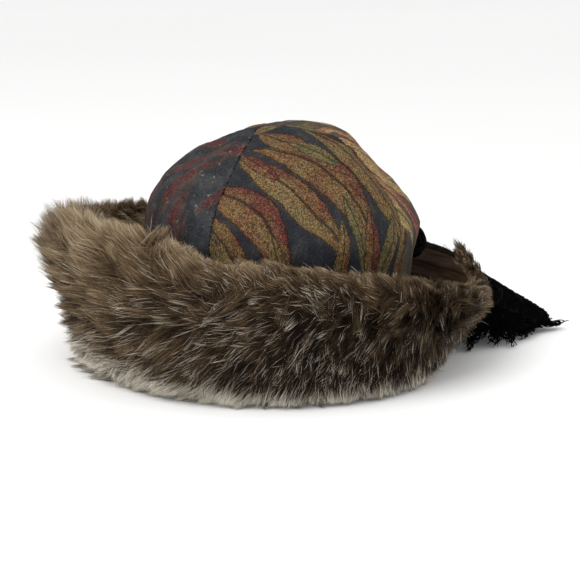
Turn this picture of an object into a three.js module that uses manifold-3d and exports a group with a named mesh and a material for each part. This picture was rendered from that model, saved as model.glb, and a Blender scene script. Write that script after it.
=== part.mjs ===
// A soft hat: a crown of four sewn gores inside a deep fur cuff, turned up and flared all round it.
// The cuff has a satin facing on its crown side. A black cloth tie is knotted round the crown, and its
// fringed end lies over the cuff at the back right and down to the floor.
// Millimetres, +Z up. The front is toward -Y and the right toward +X. The crown's axis is the Z axis.
// Azimuths are degrees about that axis: 0 is the front, 90 the right, 180 the back and 270 the left.
import * as THREE from 'three';
import { mergeVertices } from 'three/addons/utils/BufferGeometryUtils.js';
import Module from 'manifold-3d';

const wasm = await Module();
wasm.setup();

const GAP = 0.3;
const DEG = Math.PI / 180;

// The crown. Its wall is the brocade with an interlining.
const CROWN_WALL = 2.5;
const CROWN_FOOT_Z = 4;
const CROWN_FOOT_R = 91;
// Half of the outer profile, from the foot past the bulge over the tie to the top.
const CROWN_PROFILE = [
  { r: CROWN_FOOT_R, z: CROWN_FOOT_Z },
  { r: CROWN_FOOT_R, z: 40 },
  { r: CROWN_FOOT_R, z: 74 },
  { r: 92.6, z: 83 },
  { r: 96, z: 93 },
  { r: 97, z: 102 },
  { r: 93, z: 116 },
  { r: 84.5, z: 131 },
  { r: 71, z: 146 },
  { r: 57, z: 158 },
  { r: 44, z: 166 },
  { r: 29, z: 171.5 },
  { r: 14, z: 174.8 },
  { r: 0, z: 175.6 },
];
// The height of the crown's widest place.
const BULGE_Z = 102;
// The gores meet left of the axis, and their seams run down to these azimuths.
const APEX = { x: -18, y: 0 };
const APEX_HOLE = 0.8;
const SEAM_AZIMUTHS = [-31, 62, 150, 238];
const GORE_NAMES = ['crown_panel_front', 'crown_panel_right', 'crown_panel_back', 'crown_panel_left'];
const SEAM_SINK = 1.4;
const SEAM_HALF_WIDTH = 5;
// Broad swells, soft ridges and creases in the crown. from and to are the azimuth and height of a fold's
// ends, out how far it stands out, and spread how wide it is.
const CROWN_FOLDS = [
  { name: 'left slump', from: [262, 128], to: [285, 134], out: 3, spread: 34 },
  { name: 'right hollow', from: [84, 136], to: [100, 146], out: -7, spread: 32 },
  { name: 'top right puff', from: [70, 168], to: [120, 170], out: 1.6, spread: 20 },
  { name: 'top left hollow', from: [282, 156], to: [300, 168], out: -2.6, spread: 20 },
  { name: 'left ridge', from: [-62, 166], to: [-50, 146], out: 2.6, spread: 9 },
  { name: 'left crease', from: [-80, 162], to: [-66, 142], out: -2.8, spread: 10 },
  { name: 'front ridge', from: [24, 168], to: [44, 138], out: 1.8, spread: 11 },
  { name: 'front crease', from: [44, 164], to: [56, 140], out: -2, spread: 8 },
  { name: 'right sag', from: [66, 98], to: [96, 96], out: 1.8, spread: 13 },
  { name: 'right tuck', from: [64, 112], to: [84, 109], out: -1.8, spread: 7 },
  { name: 'front low crease', from: [-8, 112], to: [18, 124], out: -1.5, spread: 10 },
  { name: 'back dent', from: [172, 150], to: [204, 140], out: -4.5, spread: 22 },
  { name: 'back ridge', from: [150, 158], to: [158, 132], out: 2.2, spread: 10 },
  { name: 'back left crease', from: [226, 158], to: [232, 126], out: -2.4, spread: 9 },
];
const GORE_COLUMNS = 11;
// Rows of the gores' grid under the tie and over it.
const GORE_ROWS = { under: 2, over: 12 };

// The cuff, by azimuth. rim is where the facing and the skin end, before the fur that wraps over it.
// floorR is where the fur leaves the floor, belly its widest place, depth the fur at the rim, and hair
// how long its locks and its lip are beside those of the front.
const CUFF = [
  { azimuth: 0, rimR: 111, rimZ: 83, floorR: 116, bellyR: 128, bellyZ: 42, depth: 17, hair: 1 },
  { azimuth: 45, rimR: 120, rimZ: 66, floorR: 113, bellyR: 127, bellyZ: 34, depth: 13, hair: 0.8 },
  { azimuth: 90, rimR: 138, rimZ: 57, floorR: 106, bellyR: 129, bellyZ: 22, depth: 11, hair: 0.55 },
  { azimuth: 135, rimR: 134, rimZ: 71, floorR: 109, bellyR: 133, bellyZ: 30, depth: 12, hair: 0.6 },
  { azimuth: 180, rimR: 130, rimZ: 77, floorR: 115, bellyR: 137, bellyZ: 37, depth: 14, hair: 0.8 },
  { azimuth: 225, rimR: 140, rimZ: 87, floorR: 120, bellyR: 147, bellyZ: 44, depth: 17, hair: 0.95 },
  { azimuth: 270, rimR: 147, rimZ: 92, floorR: 124, bellyR: 154, bellyZ: 56, depth: 17, hair: 1.1 },
  { azimuth: 315, rimR: 124, rimZ: 92, floorR: 120, bellyR: 141, bellyZ: 50, depth: 19, hair: 1 },
];
// A soft corner of the rim at the right, where the tie's end pulls it up.
const RIM_CORNER = { azimuth: 110, height: 8, spread: 18 };
const FACING_WALL = 1.5;
const FACING_FOOT = { r: CROWN_FOOT_R + 2 * GAP, z: 6 };
// How far below the rim the facing ends, at the lip of fur that wraps over from outside, and how far
// that lip stands up and in.
const LIP = { drop: 11, rise: 8, inward: 6 };
const FACING_STEPS = 5;
const FACING_RIPPLES = { count: 11, height: 1.1 };
const CUFF_COLUMNS = 44;
const FUR_STEPS = 9;

// The locks that stand out of the fur, in rows from the floor to the lip. Each lock is a flat pointed
// tuft. along is its place on the fur's outer face, up how far it points to the rim and not straight out,
// and round how far it sweeps toward larger azimuths.
const LOCK_ROWS = [
  { name: 'hem', along: 0.06, count: 16, length: 29, width: 36, up: -0.9, round: 0.2 },
  { name: 'low', along: 0.28, count: 17, length: 38, width: 38, up: -0.6, round: 0.5 },
  { name: 'middle', along: 0.46, count: 18, length: 40, width: 38, up: 0.4, round: 0.75 },
  { name: 'high', along: 0.64, count: 18, length: 36, width: 36, up: 0.9, round: 0.55 },
  { name: 'crest', along: 0.83, count: 18, length: 27, width: 32, up: 0.5, round: 0.5 },
];
// How deep a lock's root is in the fur.
const LOCK_ROOT = 4;
const LOCK_THICKNESS = 9;
// How far a lock's tip stands off the fur, as a share of its length.
const LOCK_LIFT = 0.3;

// The black tie round the crown, under its bulge, and the knot at the back right.
const TIE_INNER_R = CROWN_FOOT_R + 2 * GAP;
const TIE_WALL = 2.2;
const TIE_Z = { low: 34, high: 76 };
const TIE_FOLDS = { count: 2.5, height: 0.9 };
const TIE_COLUMNS = 38;
const KNOT = { azimuth: 116, r: 100.5, z: 80, radial: 10, across: 13, tall: 11 };
const KNOT_CLEARANCE = 1.2;

// The free end of the tie, from the band behind the crown over the back right rim and down. Each row runs
// from the edge that leans on the fur to the edge that lies lower and farther out.
const TAIL_ROWS = [
  { name: 'band', upper: [58.2, 76.8, 52], lower: [37.4, 88.8, 52] },
  { name: 'bulge', upper: [62, 81, 72], lower: [41, 93, 72] },
  { name: 'trough', upper: [70, 93, 82], lower: [47, 106, 83] },
  { name: 'rim', upper: [80, 108, 80], lower: [56, 122, 82] },
  { name: 'shoulder', upper: [95, 115, 68], lower: [70, 141, 68] },
  { name: 'back', upper: [110, 100, 56], lower: [108, 152, 28] },
  { name: 'flank', upper: [131, 72, 53], lower: [160, 146, 6] },
  { name: 'ridge', upper: [149, 47, 53], lower: [208, 98, 12] },
  { name: 'hem', upper: [149, 22, 35], lower: [199, 80, 6.5] },
];
const TAIL_WALL = 2.2;
const TAIL_COLUMNS = 7;
const TAIL_STEPS = 18;
const TAIL_FOLDS = { count: 2.2, height: 2.4 };
// The tail lies in a groove that it presses into the fur, and no lock but the lowest stands in its way.
const TAIL_PRESS = TAIL_WALL + 2 * GAP;
const TAIL_MARGIN = 0.02;
const TAIL_LIES = { from: 88, to: 158 };
// The fringe: pointed strips from the hem, by their place along it from the upper edge to the lower.
const FRINGE = { count: 9, width: 9.5, thickness: 2, root: 4, arch: 3 };
const FRINGE_TIPS = [
  { place: 0, tip: [127, 8, 3] },
  { place: 0.3, tip: [158, 4, 2.5] },
  { place: 0.55, tip: [171, 37, 2] },
  { place: 0.8, tip: [189, 75, 2] },
  { place: 1, tip: [210, 90, 5] },
];

const COLOURS = {
  brocade: new THREE.Color(0.2, 0.13, 0.08),
  satin: new THREE.Color(0.1, 0.06, 0.045),
  fur: new THREE.Color(0.23, 0.16, 0.1),
  tie: new THREE.Color(0.012, 0.012, 0.013),
};

// A closed body from points and triangles, with its faces pointing out.
function closedBody(points, triangles) {
  let volume = 0;
  for (const [a, b, c] of triangles) {
    volume += points[a].dot(new THREE.Vector3().crossVectors(points[b], points[c])) / 6;
  }
  const outward = volume > 0 ? triangles : triangles.map(([a, b, c]) => [a, c, b]);
  const geometry = new THREE.BufferGeometry();
  geometry.setAttribute('position', new THREE.Float32BufferAttribute(points.flatMap((p) => p.toArray()), 3));
  geometry.setIndex(outward.flat());
  return geometry;
}

// Two triangles for each cell between two runs of points.
function strip(left, right, closed) {
  const cells = [];
  const last = closed ? left.length : left.length - 1;
  for (let i = 0; i < last; i += 1) {
    const j = (i + 1) % left.length;
    cells.push([left[i], right[i], right[j]], [left[i], right[j], left[j]]);
  }
  return cells;
}

// A sheet with a wall: outer(u, v) and inner(u, v) give its two faces, with u and v from 0 to 1.
function wallSheet(columns, rows, outer, inner) {
  const points = [];
  const faces = [outer, inner].map((face) => {
    const lines = [];
    for (let j = 0; j <= rows; j += 1) {
      lines.push([]);
      for (let i = 0; i <= columns; i += 1) {
        lines[j].push(points.length);
        points.push(face(i / columns, j / rows));
      }
    }
    return lines;
  });
  const triangles = [];
  for (let j = 0; j < rows; j += 1) {
    triangles.push(...strip(faces[0][j], faces[0][j + 1], false));
    triangles.push(...strip(faces[1][j + 1], faces[1][j], false));
  }
  const edge = (lines) => [
    ...lines[0],
    ...lines.slice(1).map((line) => line[columns]),
    ...lines[rows].slice(0, -1).reverse(),
    ...lines.slice(1, -1).map((line) => line[0]).reverse(),
  ];
  triangles.push(...strip(edge(faces[1]), edge(faces[0]), true));
  return closedBody(points, triangles);
}

// A ring from equal closed sections, one for each azimuth step.
function ringBody(columns, sectionAt) {
  const points = [];
  const sections = [];
  for (let i = 0; i < columns; i += 1) {
    const section = sectionAt((i / columns) * 360);
    sections.push(section.map((_, k) => points.length + k));
    points.push(...section);
  }
  const triangles = sections.flatMap((line, i) => strip(line, sections[(i + 1) % columns], true));
  return closedBody(points, triangles);
}

// A body with equal closed sections and a flat cap at each end.
function loftBody(sections) {
  const points = sections.flat();
  const width = sections[0].length;
  const lines = sections.map((section, i) => section.map((_, k) => i * width + k));
  const triangles = [];
  for (let i = 0; i + 1 < lines.length; i += 1) {
    triangles.push(...strip(lines[i], lines[i + 1], true));
  }
  for (let k = 1; k + 1 < width; k += 1) {
    triangles.push([lines[0][0], lines[0][k], lines[0][k + 1]]);
    triangles.push([lines.at(-1)[0], lines.at(-1)[k + 1], lines.at(-1)[k]]);
  }
  return closedBody(points, triangles);
}

function toSolid(geometry) {
  const plain = geometry.clone();
  plain.deleteAttribute('normal');
  plain.deleteAttribute('uv');
  const merged = mergeVertices(plain, 1e-4);
  const position = merged.attributes.position;
  const points = [];
  for (let i = 0; i < position.count; i += 1) {
    points.push(new THREE.Vector3().fromBufferAttribute(position, i));
  }
  const triangles = [];
  for (let i = 0; i < merged.index.count; i += 3) {
    triangles.push([...merged.index.array.slice(i, i + 3)]);
  }
  const body = closedBody(points, triangles);
  const vertProperties = new Float32Array(body.attributes.position.array);
  const triVerts = new Uint32Array(body.index.array);
  return new wasm.Manifold(new wasm.Mesh({ numProp: 3, vertProperties, triVerts }));
}

function toGeometry(solid) {
  const mesh = solid.getMesh();
  const geometry = new THREE.BufferGeometry();
  geometry.setAttribute('position', new THREE.Float32BufferAttribute(mesh.vertProperties, 3));
  geometry.setIndex([...mesh.triVerts]);
  return geometry;
}

// A point at an azimuth, r from the axis and z above the floor.
function polar(azimuth, r, z) {
  return new THREE.Vector3(r * Math.sin(azimuth * DEG), -r * Math.cos(azimuth * DEG), z);
}

function mix(a, b, t) {
  return a + (b - a) * t;
}

// A value that repeats round the hat, smoothly between the rows of a table with even azimuths.
function around(rows, key, azimuth) {
  const place = (((azimuth % 360) + 360) % 360) / (360 / rows.length);
  const first = Math.floor(place);
  const t = place - first;
  const [a, b, c, d] = [-1, 0, 1, 2].map((step) => rows[(first + step + rows.length) % rows.length][key]);
  const slopeB = (c - a) / 2;
  const slopeC = (d - b) / 2;
  const bend = t * t * (3 - 2 * t);
  return mix(b, c, bend) + slopeB * t * (1 - t) ** 2 - slopeC * t * t * (1 - t);
}

const crownCurve = new THREE.CatmullRomCurve3(
  CROWN_PROFILE.map(({ r, z }) => new THREE.Vector3(r, 0, z)),
  false,
  'centripetal',
);
crownCurve.arcLengthDivisions = 800;

// The place along the crown's profile, from 0 to 1, where test(point) first fails.
function alongCrown(test, low, high) {
  for (let i = 0; i < 30; i += 1) {
    const middle = (low + high) / 2;
    if (test(crownCurve.getPointAt(middle))) {
      low = middle;
    } else {
      high = middle;
    }
  }
  return low;
}

const bulgePlace = alongCrown((p) => p.z < BULGE_Z, 0, 1);

// Where the gores' common centre has moved to at a place along the profile: on the axis up to the
// bulge, then over to the apex.
function goreCentre(along) {
  const t = Math.max(0, (along - bulgePlace) / (1 - bulgePlace));
  return t ** 3;
}

// A point of the crown before its folds, with the direction that points out of it.
function plainCrown(azimuth, along) {
  const profile = crownCurve.getPointAt(along);
  const shift = goreCentre(along);
  const flat = polar(azimuth, profile.x, 0).add(new THREE.Vector3(APEX.x * shift, APEX.y * shift, 0));
  const reach = flat.length();
  const place = shift > 0 ? alongCrown((p) => p.x > reach, bulgePlace, 1) : along;
  const at = crownCurve.getPointAt(place);
  const run = crownCurve.getTangentAt(Math.min(place, 0.999));
  const side = reach > 0 ? flat.clone().divideScalar(reach) : new THREE.Vector3();
  const out = side.clone().multiplyScalar(run.z).add(new THREE.Vector3(0, 0, -run.x)).normalize();
  return { point: flat.setZ(at.z), out };
}

function crownAtHeight(azimuth, z) {
  const place = alongCrown((p) => p.z < z, 0, 1);
  const profile = crownCurve.getPointAt(place);
  return polar(azimuth, profile.x, z);
}

const foldLines = CROWN_FOLDS.map((fold) => ({
  ...fold,
  line: new THREE.Line3(crownAtHeight(...fold.from), crownAtHeight(...fold.to)),
}));

// How free the crown is to fold at a height: not at all under the tie, and wholly a little above it.
function looseness(z) {
  return THREE.MathUtils.smoothstep(z, TIE_Z.high + 2, TIE_Z.high + 22);
}

// How far a point of the crown stands out for the folds.
function swell(point) {
  const nearest = new THREE.Vector3();
  let out = 0;
  for (const fold of foldLines) {
    fold.line.closestPointToPoint(point, true, nearest);
    out += fold.out * Math.exp(-((nearest.distanceTo(point) / fold.spread) ** 2));
  }
  return out * looseness(point.z);
}

// One gore of the crown, from seam to seam, each edge half a gap from the seam and drawn in by it.
function gore(index) {
  const start = SEAM_AZIMUTHS[index];
  const isLast = index + 1 === SEAM_AZIMUTHS.length;
  const end = isLast ? SEAM_AZIMUTHS[0] + 360 : SEAM_AZIMUTHS[index + 1];
  const lastPlace = alongCrown((p) => p.x > APEX_HOLE, bulgePlace, 1);
  const tiePlace = alongCrown((p) => p.z < TIE_Z.high, 0, 1);
  const rows = GORE_ROWS.under + GORE_ROWS.over;
  const face = (depth) => (u, v) => {
    const over = (v * rows - GORE_ROWS.under) / GORE_ROWS.over;
    const along = over > 0 ? mix(tiePlace, lastPlace, over) : (v * rows * tiePlace) / GORE_ROWS.under;
    const r = crownCurve.getPointAt(along).x;
    const inset = GAP / 2 / (r * DEG);
    const azimuth = mix(start + inset, end - inset, u);
    const { point, out } = plainCrown(azimuth, along);
    const fromSeam = Math.min(azimuth - start, end - azimuth) * DEG * r;
    const sink = SEAM_SINK * looseness(point.z) * Math.exp(-((fromSeam / SEAM_HALF_WIDTH) ** 2));
    return point.addScaledVector(out, swell(point) - sink - depth);
  };
  return wallSheet(GORE_COLUMNS, rows, face(0), face(CROWN_WALL));
}

// The crown side of the cuff in its own plane: x is the distance from the axis and y the height.
function cuffFace(azimuth) {
  const fromCorner = ((((azimuth - RIM_CORNER.azimuth + 180) % 360) + 360) % 360) - 180;
  const corner = RIM_CORNER.height * Math.exp(-((fromCorner / RIM_CORNER.spread) ** 2));
  const rim = new THREE.Vector2(around(CUFF, 'rimR', azimuth), around(CUFF, 'rimZ', azimuth) + corner);
  const foot = new THREE.Vector2(FACING_FOOT.r, FACING_FOOT.z);
  const knee = new THREE.Vector2(mix(foot.x, rim.x, 0.28), mix(foot.y, rim.y, 0.45));
  const curve = new THREE.QuadraticBezierCurve(foot, knee, rim);
  const up = curve.getTangentAt(1);
  const out = new THREE.Vector2(up.y, -up.x);
  const drop = LIP.drop * around(CUFF, 'hair', azimuth);
  return { curve, rim, up, out, drop, lipPlace: 1 - drop / curve.getLength() };
}

// Points along the crown side of the cuff, moved out from it by depth.
function facingLine(azimuth, depth) {
  const face = cuffFace(azimuth);
  const points = [];
  for (let i = 0; i <= FACING_STEPS; i += 1) {
    const place = (i / FACING_STEPS) * face.lipPlace;
    const run = face.curve.getTangentAt(place);
    const ripple = Math.sin(Math.PI * (i / FACING_STEPS)) * FACING_RIPPLES.height;
    const lift = ripple * (1 + Math.sin(azimuth * DEG * FACING_RIPPLES.count + place * 5)) * 0.5;
    const out = new THREE.Vector2(run.y, -run.x);
    points.push(face.curve.getPointAt(place).addScaledVector(out, depth + lift));
  }
  return points;
}

function cuffFacing() {
  return ringBody(CUFF_COLUMNS, (azimuth) => {
    const section = [...facingLine(azimuth, 0), ...facingLine(azimuth, FACING_WALL).reverse()];
    return section.map((p) => polar(azimuth, p.x, p.y));
  });
}

// The outer face of the fur in its own plane, from the floor over the belly and rim to the lip.
function furCurve(azimuth) {
  const { rim, up, out, drop } = cuffFace(azimuth);
  const depth = around(CUFF, 'depth', azimuth);
  const hair = around(CUFF, 'hair', azimuth);
  const floorR = around(CUFF, 'floorR', azimuth);
  const belly = new THREE.Vector2(around(CUFF, 'bellyR', azimuth), around(CUFF, 'bellyZ', azimuth));
  const nearRim = (outward, upward) => rim.clone().addScaledVector(out, outward).addScaledVector(up, upward);
  const places = [
    new THREE.Vector2(floorR, 0),
    new THREE.Vector2(mix(floorR, belly.x, 0.72), belly.y * 0.36),
    belly,
    nearRim(depth, -2),
    nearRim(depth * 0.45, LIP.rise * hair + 1),
    nearRim(-LIP.inward * hair * 0.5, LIP.rise * hair),
    nearRim(-LIP.inward * hair, -1),
    nearRim(-LIP.inward * hair * 0.7, 3 - drop),
  ];
  return new THREE.CatmullRomCurve3(
    places.map((p) => new THREE.Vector3(p.x, 0, p.y)),
    false,
    'centripetal',
  );
}

function furCore() {
  return ringBody(CUFF_COLUMNS, (azimuth) => {
    const back = facingLine(azimuth, FACING_WALL + GAP);
    const foot = new THREE.Vector2(back[0].x, 0);
    const outer = furCurve(azimuth).getSpacedPoints(FUR_STEPS).map((p) => new THREE.Vector2(p.x, p.z));
    const { rim, up, out, drop } = cuffFace(azimuth);
    const shelf = rim.clone().addScaledVector(out, FACING_WALL + GAP).addScaledVector(up, 2 - drop);
    return [foot, ...outer, shelf, ...back.reverse()].map((p) => polar(azimuth, p.x, p.y));
  });
}

// One lock of fur: a pointed tuft that grows out of the core and bends the way the fur is stroked.
function lock(row, azimuth) {
  const curve = furCurve(azimuth);
  const length = row.length * around(CUFF, 'hair', azimuth);
  const at = curve.getPointAt(row.along);
  const run = curve.getTangentAt(row.along);
  const root = polar(azimuth, at.x, at.z);
  const rise = polar(azimuth, run.x, run.z).normalize();
  const round = polar(azimuth + 90, 1, 0);
  const out = new THREE.Vector3().crossVectors(rise, round).normalize();
  if (out.dot(polar(azimuth, run.z, -run.x)) < 0) {
    out.negate();
  }
  const sweep = rise.clone().multiplyScalar(row.up).addScaledVector(round, row.round);
  const tuft = (place, width, thickness) => {
    const bend = place * Math.abs(place);
    const middle = root.clone().addScaledVector(out, place * length * LOCK_LIFT);
    middle.addScaledVector(sweep, (0.35 * place + 0.65 * bend) * length * 0.8);
    const across = new THREE.Vector3().crossVectors(out, sweep).normalize();
    const thick = new THREE.Vector3().crossVectors(across, sweep.clone().addScaledVector(out, 0.6)).normalize();
    return [
      middle.clone().addScaledVector(across, width / 2),
      middle.clone().addScaledVector(thick, thickness / 2),
      middle.clone().addScaledVector(across, -width / 2),
      middle.clone().addScaledVector(thick, -thickness / 2),
    ];
  };
  return loftBody([
    tuft(-LOCK_ROOT / (length * LOCK_LIFT), row.width, LOCK_THICKNESS),
    tuft(0.5, row.width * 0.8, LOCK_THICKNESS * 0.8),
    tuft(1, row.width * 0.06, LOCK_THICKNESS * 0.1),
  ]);
}

const tailCurves = ['upper', 'lower'].map(
  (edge) =>
    new THREE.CatmullRomCurve3(
      TAIL_ROWS.map((row) => new THREE.Vector3(...row[edge])),
      false,
      'centripetal',
    ),
);

// The middle of the tail's cloth, u from its upper edge to its lower and v from the knot to the hem,
// with the direction that points out of it.
function tailMiddle(u, v) {
  const [upper, lower] = tailCurves.map((curve) => curve.getPoint(v));
  const along = tailCurves[0].getTangent(v).lerp(tailCurves[1].getTangent(v), u);
  const across = lower.clone().sub(upper);
  const out = new THREE.Vector3().crossVectors(along, across).normalize();
  const wave = Math.sin(u * TAIL_FOLDS.count * 2 * Math.PI + v * 3) * TAIL_FOLDS.height * v;
  return { point: upper.addScaledVector(across, u).addScaledVector(out, wave), out };
}

function tailSheet(wall, margin) {
  const side = (sign) => (u, v) => {
    const { point, out } = tailMiddle(mix(-margin, 1 + margin, u), v);
    return point.addScaledVector(out, (sign * wall) / 2);
  };
  return wallSheet(TAIL_COLUMNS, TAIL_STEPS, side(1), side(-1));
}

// One strip of the fringe, from inside the hem to its tip.
function fringeStrip(place) {
  const after = FRINGE_TIPS.findIndex((row) => row.place >= place && row.place > 0);
  const [a, b] = [FRINGE_TIPS[after - 1], FRINGE_TIPS[after]];
  const t = (place - a.place) / (b.place - a.place);
  const tip = new THREE.Vector3(...a.tip).lerp(new THREE.Vector3(...b.tip), t);
  const inset = mix(0.04, 0.96, place);
  const hem = tailMiddle(inset, 1);
  const run = tip.clone().sub(hem.point);
  const across = new THREE.Vector3().crossVectors(run, hem.out).normalize();
  const thick = new THREE.Vector3().crossVectors(across, run).normalize();
  const section = (along, scale) => {
    const sag = FRINGE.arch * along * (1 - along);
    const middle = hem.point.clone().addScaledVector(run, along).addScaledVector(thick, sag);
    return [1, 0, -1, 0].map((side, k) =>
      middle
        .clone()
        .addScaledVector(across, (side * scale * FRINGE.width) / 2)
        .addScaledVector(thick, ([0, 1, 0, -1][k] * scale * FRINGE.thickness) / 2),
    );
  };
  const root = -FRINGE.root / run.length();
  return loftBody([section(root, 1), section(0.45, 0.8), section(0.8, 0.5), section(1, 0.12)]);
}

function tieTail() {
  let tail = toSolid(tailSheet(TAIL_WALL, 0));
  for (let i = 0; i < FRINGE.count; i += 1) {
    tail = tail.add(toSolid(fringeStrip(i / (FRINGE.count - 1))));
  }
  return tail.subtract(belowFloor());
}

// Everything below the floor that the hat lies on.
function belowFloor() {
  return toSolid(new THREE.BoxGeometry(1000, 1000, 100).translate(0, 0, -50));
}

function furCuff() {
  let fur = toSolid(furCore());
  for (const row of LOCK_ROWS) {
    for (let i = 0; i < row.count; i += 1) {
      const azimuth = ((i + (LOCK_ROWS.indexOf(row) % 2) / 2) / row.count) * 360;
      const underTail = azimuth > TAIL_LIES.from && azimuth < TAIL_LIES.to && row.name !== 'hem';
      if (!underTail) {
        fur = fur.add(toSolid(lock(row, azimuth)));
      }
    }
  }
  return fur.subtract(belowFloor()).subtract(toSolid(tailSheet(TAIL_PRESS, TAIL_MARGIN)));
}

function tieBand() {
  const band = ringBody(TIE_COLUMNS, (azimuth) => {
    const section = [];
    const steps = 5;
    for (let i = 0; i <= steps; i += 1) {
      const fold = Math.sin((i / steps) * TIE_FOLDS.count * 2 * Math.PI + azimuth * DEG * 2) * TIE_FOLDS.height;
      const r = TIE_INNER_R + TIE_WALL + fold * 0.5;
      section.push(polar(azimuth, r, mix(TIE_Z.low, TIE_Z.high, i / steps)));
    }
    section.push(polar(azimuth, TIE_INNER_R, TIE_Z.high));
    section.push(polar(azimuth, TIE_INNER_R, TIE_Z.low));
    return section;
  });
  const knot = new THREE.SphereGeometry(1, 14, 9)
    .scale(KNOT.across, KNOT.radial, KNOT.tall)
    .rotateZ(KNOT.azimuth * DEG)
    .translate(...polar(KNOT.azimuth, KNOT.r, KNOT.z).toArray());
  const crown = CROWN_PROFILE.map(({ r, z }) => new THREE.Vector2(r > 0 ? r + KNOT_CLEARANCE : 0, z + 1));
  const profile = [new THREE.Vector2(0, CROWN_FOOT_Z), ...crown];
  const inside = new THREE.LatheGeometry(profile, 72).rotateX(Math.PI / 2);
  return toSolid(knot).subtract(toSolid(inside)).add(toSolid(band));
}

function named(name, geometry, color, roughness) {
  const mesh = new THREE.Mesh(geometry, new THREE.MeshStandardMaterial({ color, roughness, metalness: 0 }));
  mesh.name = name;
  return mesh;
}

const hat = new THREE.Group();
GORE_NAMES.forEach((name, i) => hat.add(named(name, gore(i), COLOURS.brocade, 0.85)));
hat.add(named('cuff_facing', cuffFacing(), COLOURS.satin, 0.45));
hat.add(named('fur_cuff', toGeometry(furCuff()), COLOURS.fur, 0.8));
hat.add(named('tie_band', toGeometry(tieBand()), COLOURS.tie, 0.9));
hat.add(named('tie_tail', toGeometry(tieTail()), COLOURS.tie, 0.9));

// The origin is on the floor under the middle of the whole hat.
const box = new THREE.Box3().setFromObject(hat);
const middle = box.getCenter(new THREE.Vector3());
hat.position.set(-middle.x, -middle.y, -box.min.z);

export default hat;
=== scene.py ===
# %% [markdown]
# A soft hat with a brocade crown and a deep fur cuff. The crown is four sewn gores. A black tie
# goes round it, and the tie's fringed end lies over the cuff at the back right.
# The solids of the hat come in as a fixed frame. Each soft one is replaced here by a piece with the
# real surface: sewn cloth, satin, hair and yarn. All tables are in millimetres about the crown's axis.

# %% Load the frame
import math

import bpy
import numpy as np
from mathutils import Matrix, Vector
from mathutils.kdtree import KDTree


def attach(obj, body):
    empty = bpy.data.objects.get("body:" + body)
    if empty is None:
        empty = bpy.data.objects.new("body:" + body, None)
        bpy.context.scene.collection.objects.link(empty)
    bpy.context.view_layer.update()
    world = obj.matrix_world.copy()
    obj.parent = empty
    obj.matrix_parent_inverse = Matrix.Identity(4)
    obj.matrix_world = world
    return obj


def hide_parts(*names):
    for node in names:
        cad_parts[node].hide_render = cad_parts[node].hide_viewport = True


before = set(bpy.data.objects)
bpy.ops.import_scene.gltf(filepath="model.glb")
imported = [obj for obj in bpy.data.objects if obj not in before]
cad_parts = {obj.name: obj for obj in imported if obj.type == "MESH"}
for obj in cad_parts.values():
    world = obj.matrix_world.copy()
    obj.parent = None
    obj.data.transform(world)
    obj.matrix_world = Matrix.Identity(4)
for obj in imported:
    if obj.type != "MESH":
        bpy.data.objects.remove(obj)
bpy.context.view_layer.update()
MM = 0.001
AXIS = np.array([-17.6486, -3.9806, 0.0])
print("nodes", sorted(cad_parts))

# %% [markdown]
# The camera stands level with the front, 13 degrees above the table, and far enough away to draw the
# hat almost without perspective. It is moved a few millimetres sideways and down, which places the
# hat in the picture without a lens shift.

# %% Camera
AIM_Z = 60
ELEVATION = math.radians(13)
DISTANCE = 1500
MM_PER_PIXEL = 0.713
PICTURE_PIXELS = 580
SENSOR = 36
ASIDE = {"right": 5.0, "down": 8.2}

toward = np.array([0, -math.cos(ELEVATION), math.sin(ELEVATION)])
picture_up = np.array([0, math.sin(ELEVATION), math.cos(ELEVATION)])
eye = AXIS + [0, 0, AIM_Z] + DISTANCE * toward
eye = eye + [ASIDE["right"], 0, 0] - ASIDE["down"] * picture_up
camera = bpy.data.objects.new("camera", bpy.data.cameras.new("camera"))
camera.data.sensor_width = SENSOR
camera.data.lens = SENSOR * DISTANCE / (PICTURE_PIXELS * MM_PER_PIXEL)
camera.location = Vector(eye * MM)
camera.rotation_euler = (math.pi / 2 - ELEVATION, 0, 0)
bpy.context.scene.collection.objects.link(camera)
bpy.context.scene.camera = camera
print("lens", round(camera.data.lens, 1), "mm")

# %% [markdown]
# Cloth and hair show their weave best in soft light. A bright even sky does most of the work here,
# as a light tent does in a studio, and one large lamp above the left front gives the folds a side.


# %% Colours and light
def srgb(red, green, blue):
    """A colour given on a screen, 0 to 255, as the linear colour that a shader wants."""
    screen = np.array([red, green, blue]) / 255
    linear = np.where(screen <= 0.04045, screen / 12.92, ((screen + 0.055) / 1.055) ** 2.4)
    return (*linear, 1.0)


SKY_STRENGTH = 0.95
LAMP = {"at": (-0.55, -0.75, 1.15), "size": 0.9, "power": 12}
scene = bpy.context.scene
scene.view_settings.view_transform = "Standard"
scene.world = bpy.data.worlds.new("studio")
scene.world.use_nodes = True
sky = scene.world.node_tree.nodes["Background"]
sky.inputs["Color"].default_value = (1, 1, 1, 1)
sky.inputs["Strength"].default_value = SKY_STRENGTH
lamp = bpy.data.objects.new("soft_lamp", bpy.data.lights.new("soft_lamp", "AREA"))
lamp.data.size = LAMP["size"]
lamp.data.energy = LAMP["power"]
lamp.location = LAMP["at"]
lamp.rotation_euler = (-Vector(LAMP["at"])).to_track_quat("-Z", "Y").to_euler()
scene.collection.objects.link(lamp)
print("sky", SKY_STRENGTH, "lamp", LAMP["power"], "W")


# %% [markdown]
# A material is a small tree of nodes. These helpers add a node with its settings and plug values or
# other nodes into it, so that each finish below reads as a list of what feeds what.


# %% Material helpers
def new_material(name):
    """A material with its node tree and its main shader."""
    material = bpy.data.materials.new(name)
    material.use_nodes = True
    return material, material.node_tree, material.node_tree.nodes["Principled BSDF"]


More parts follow.
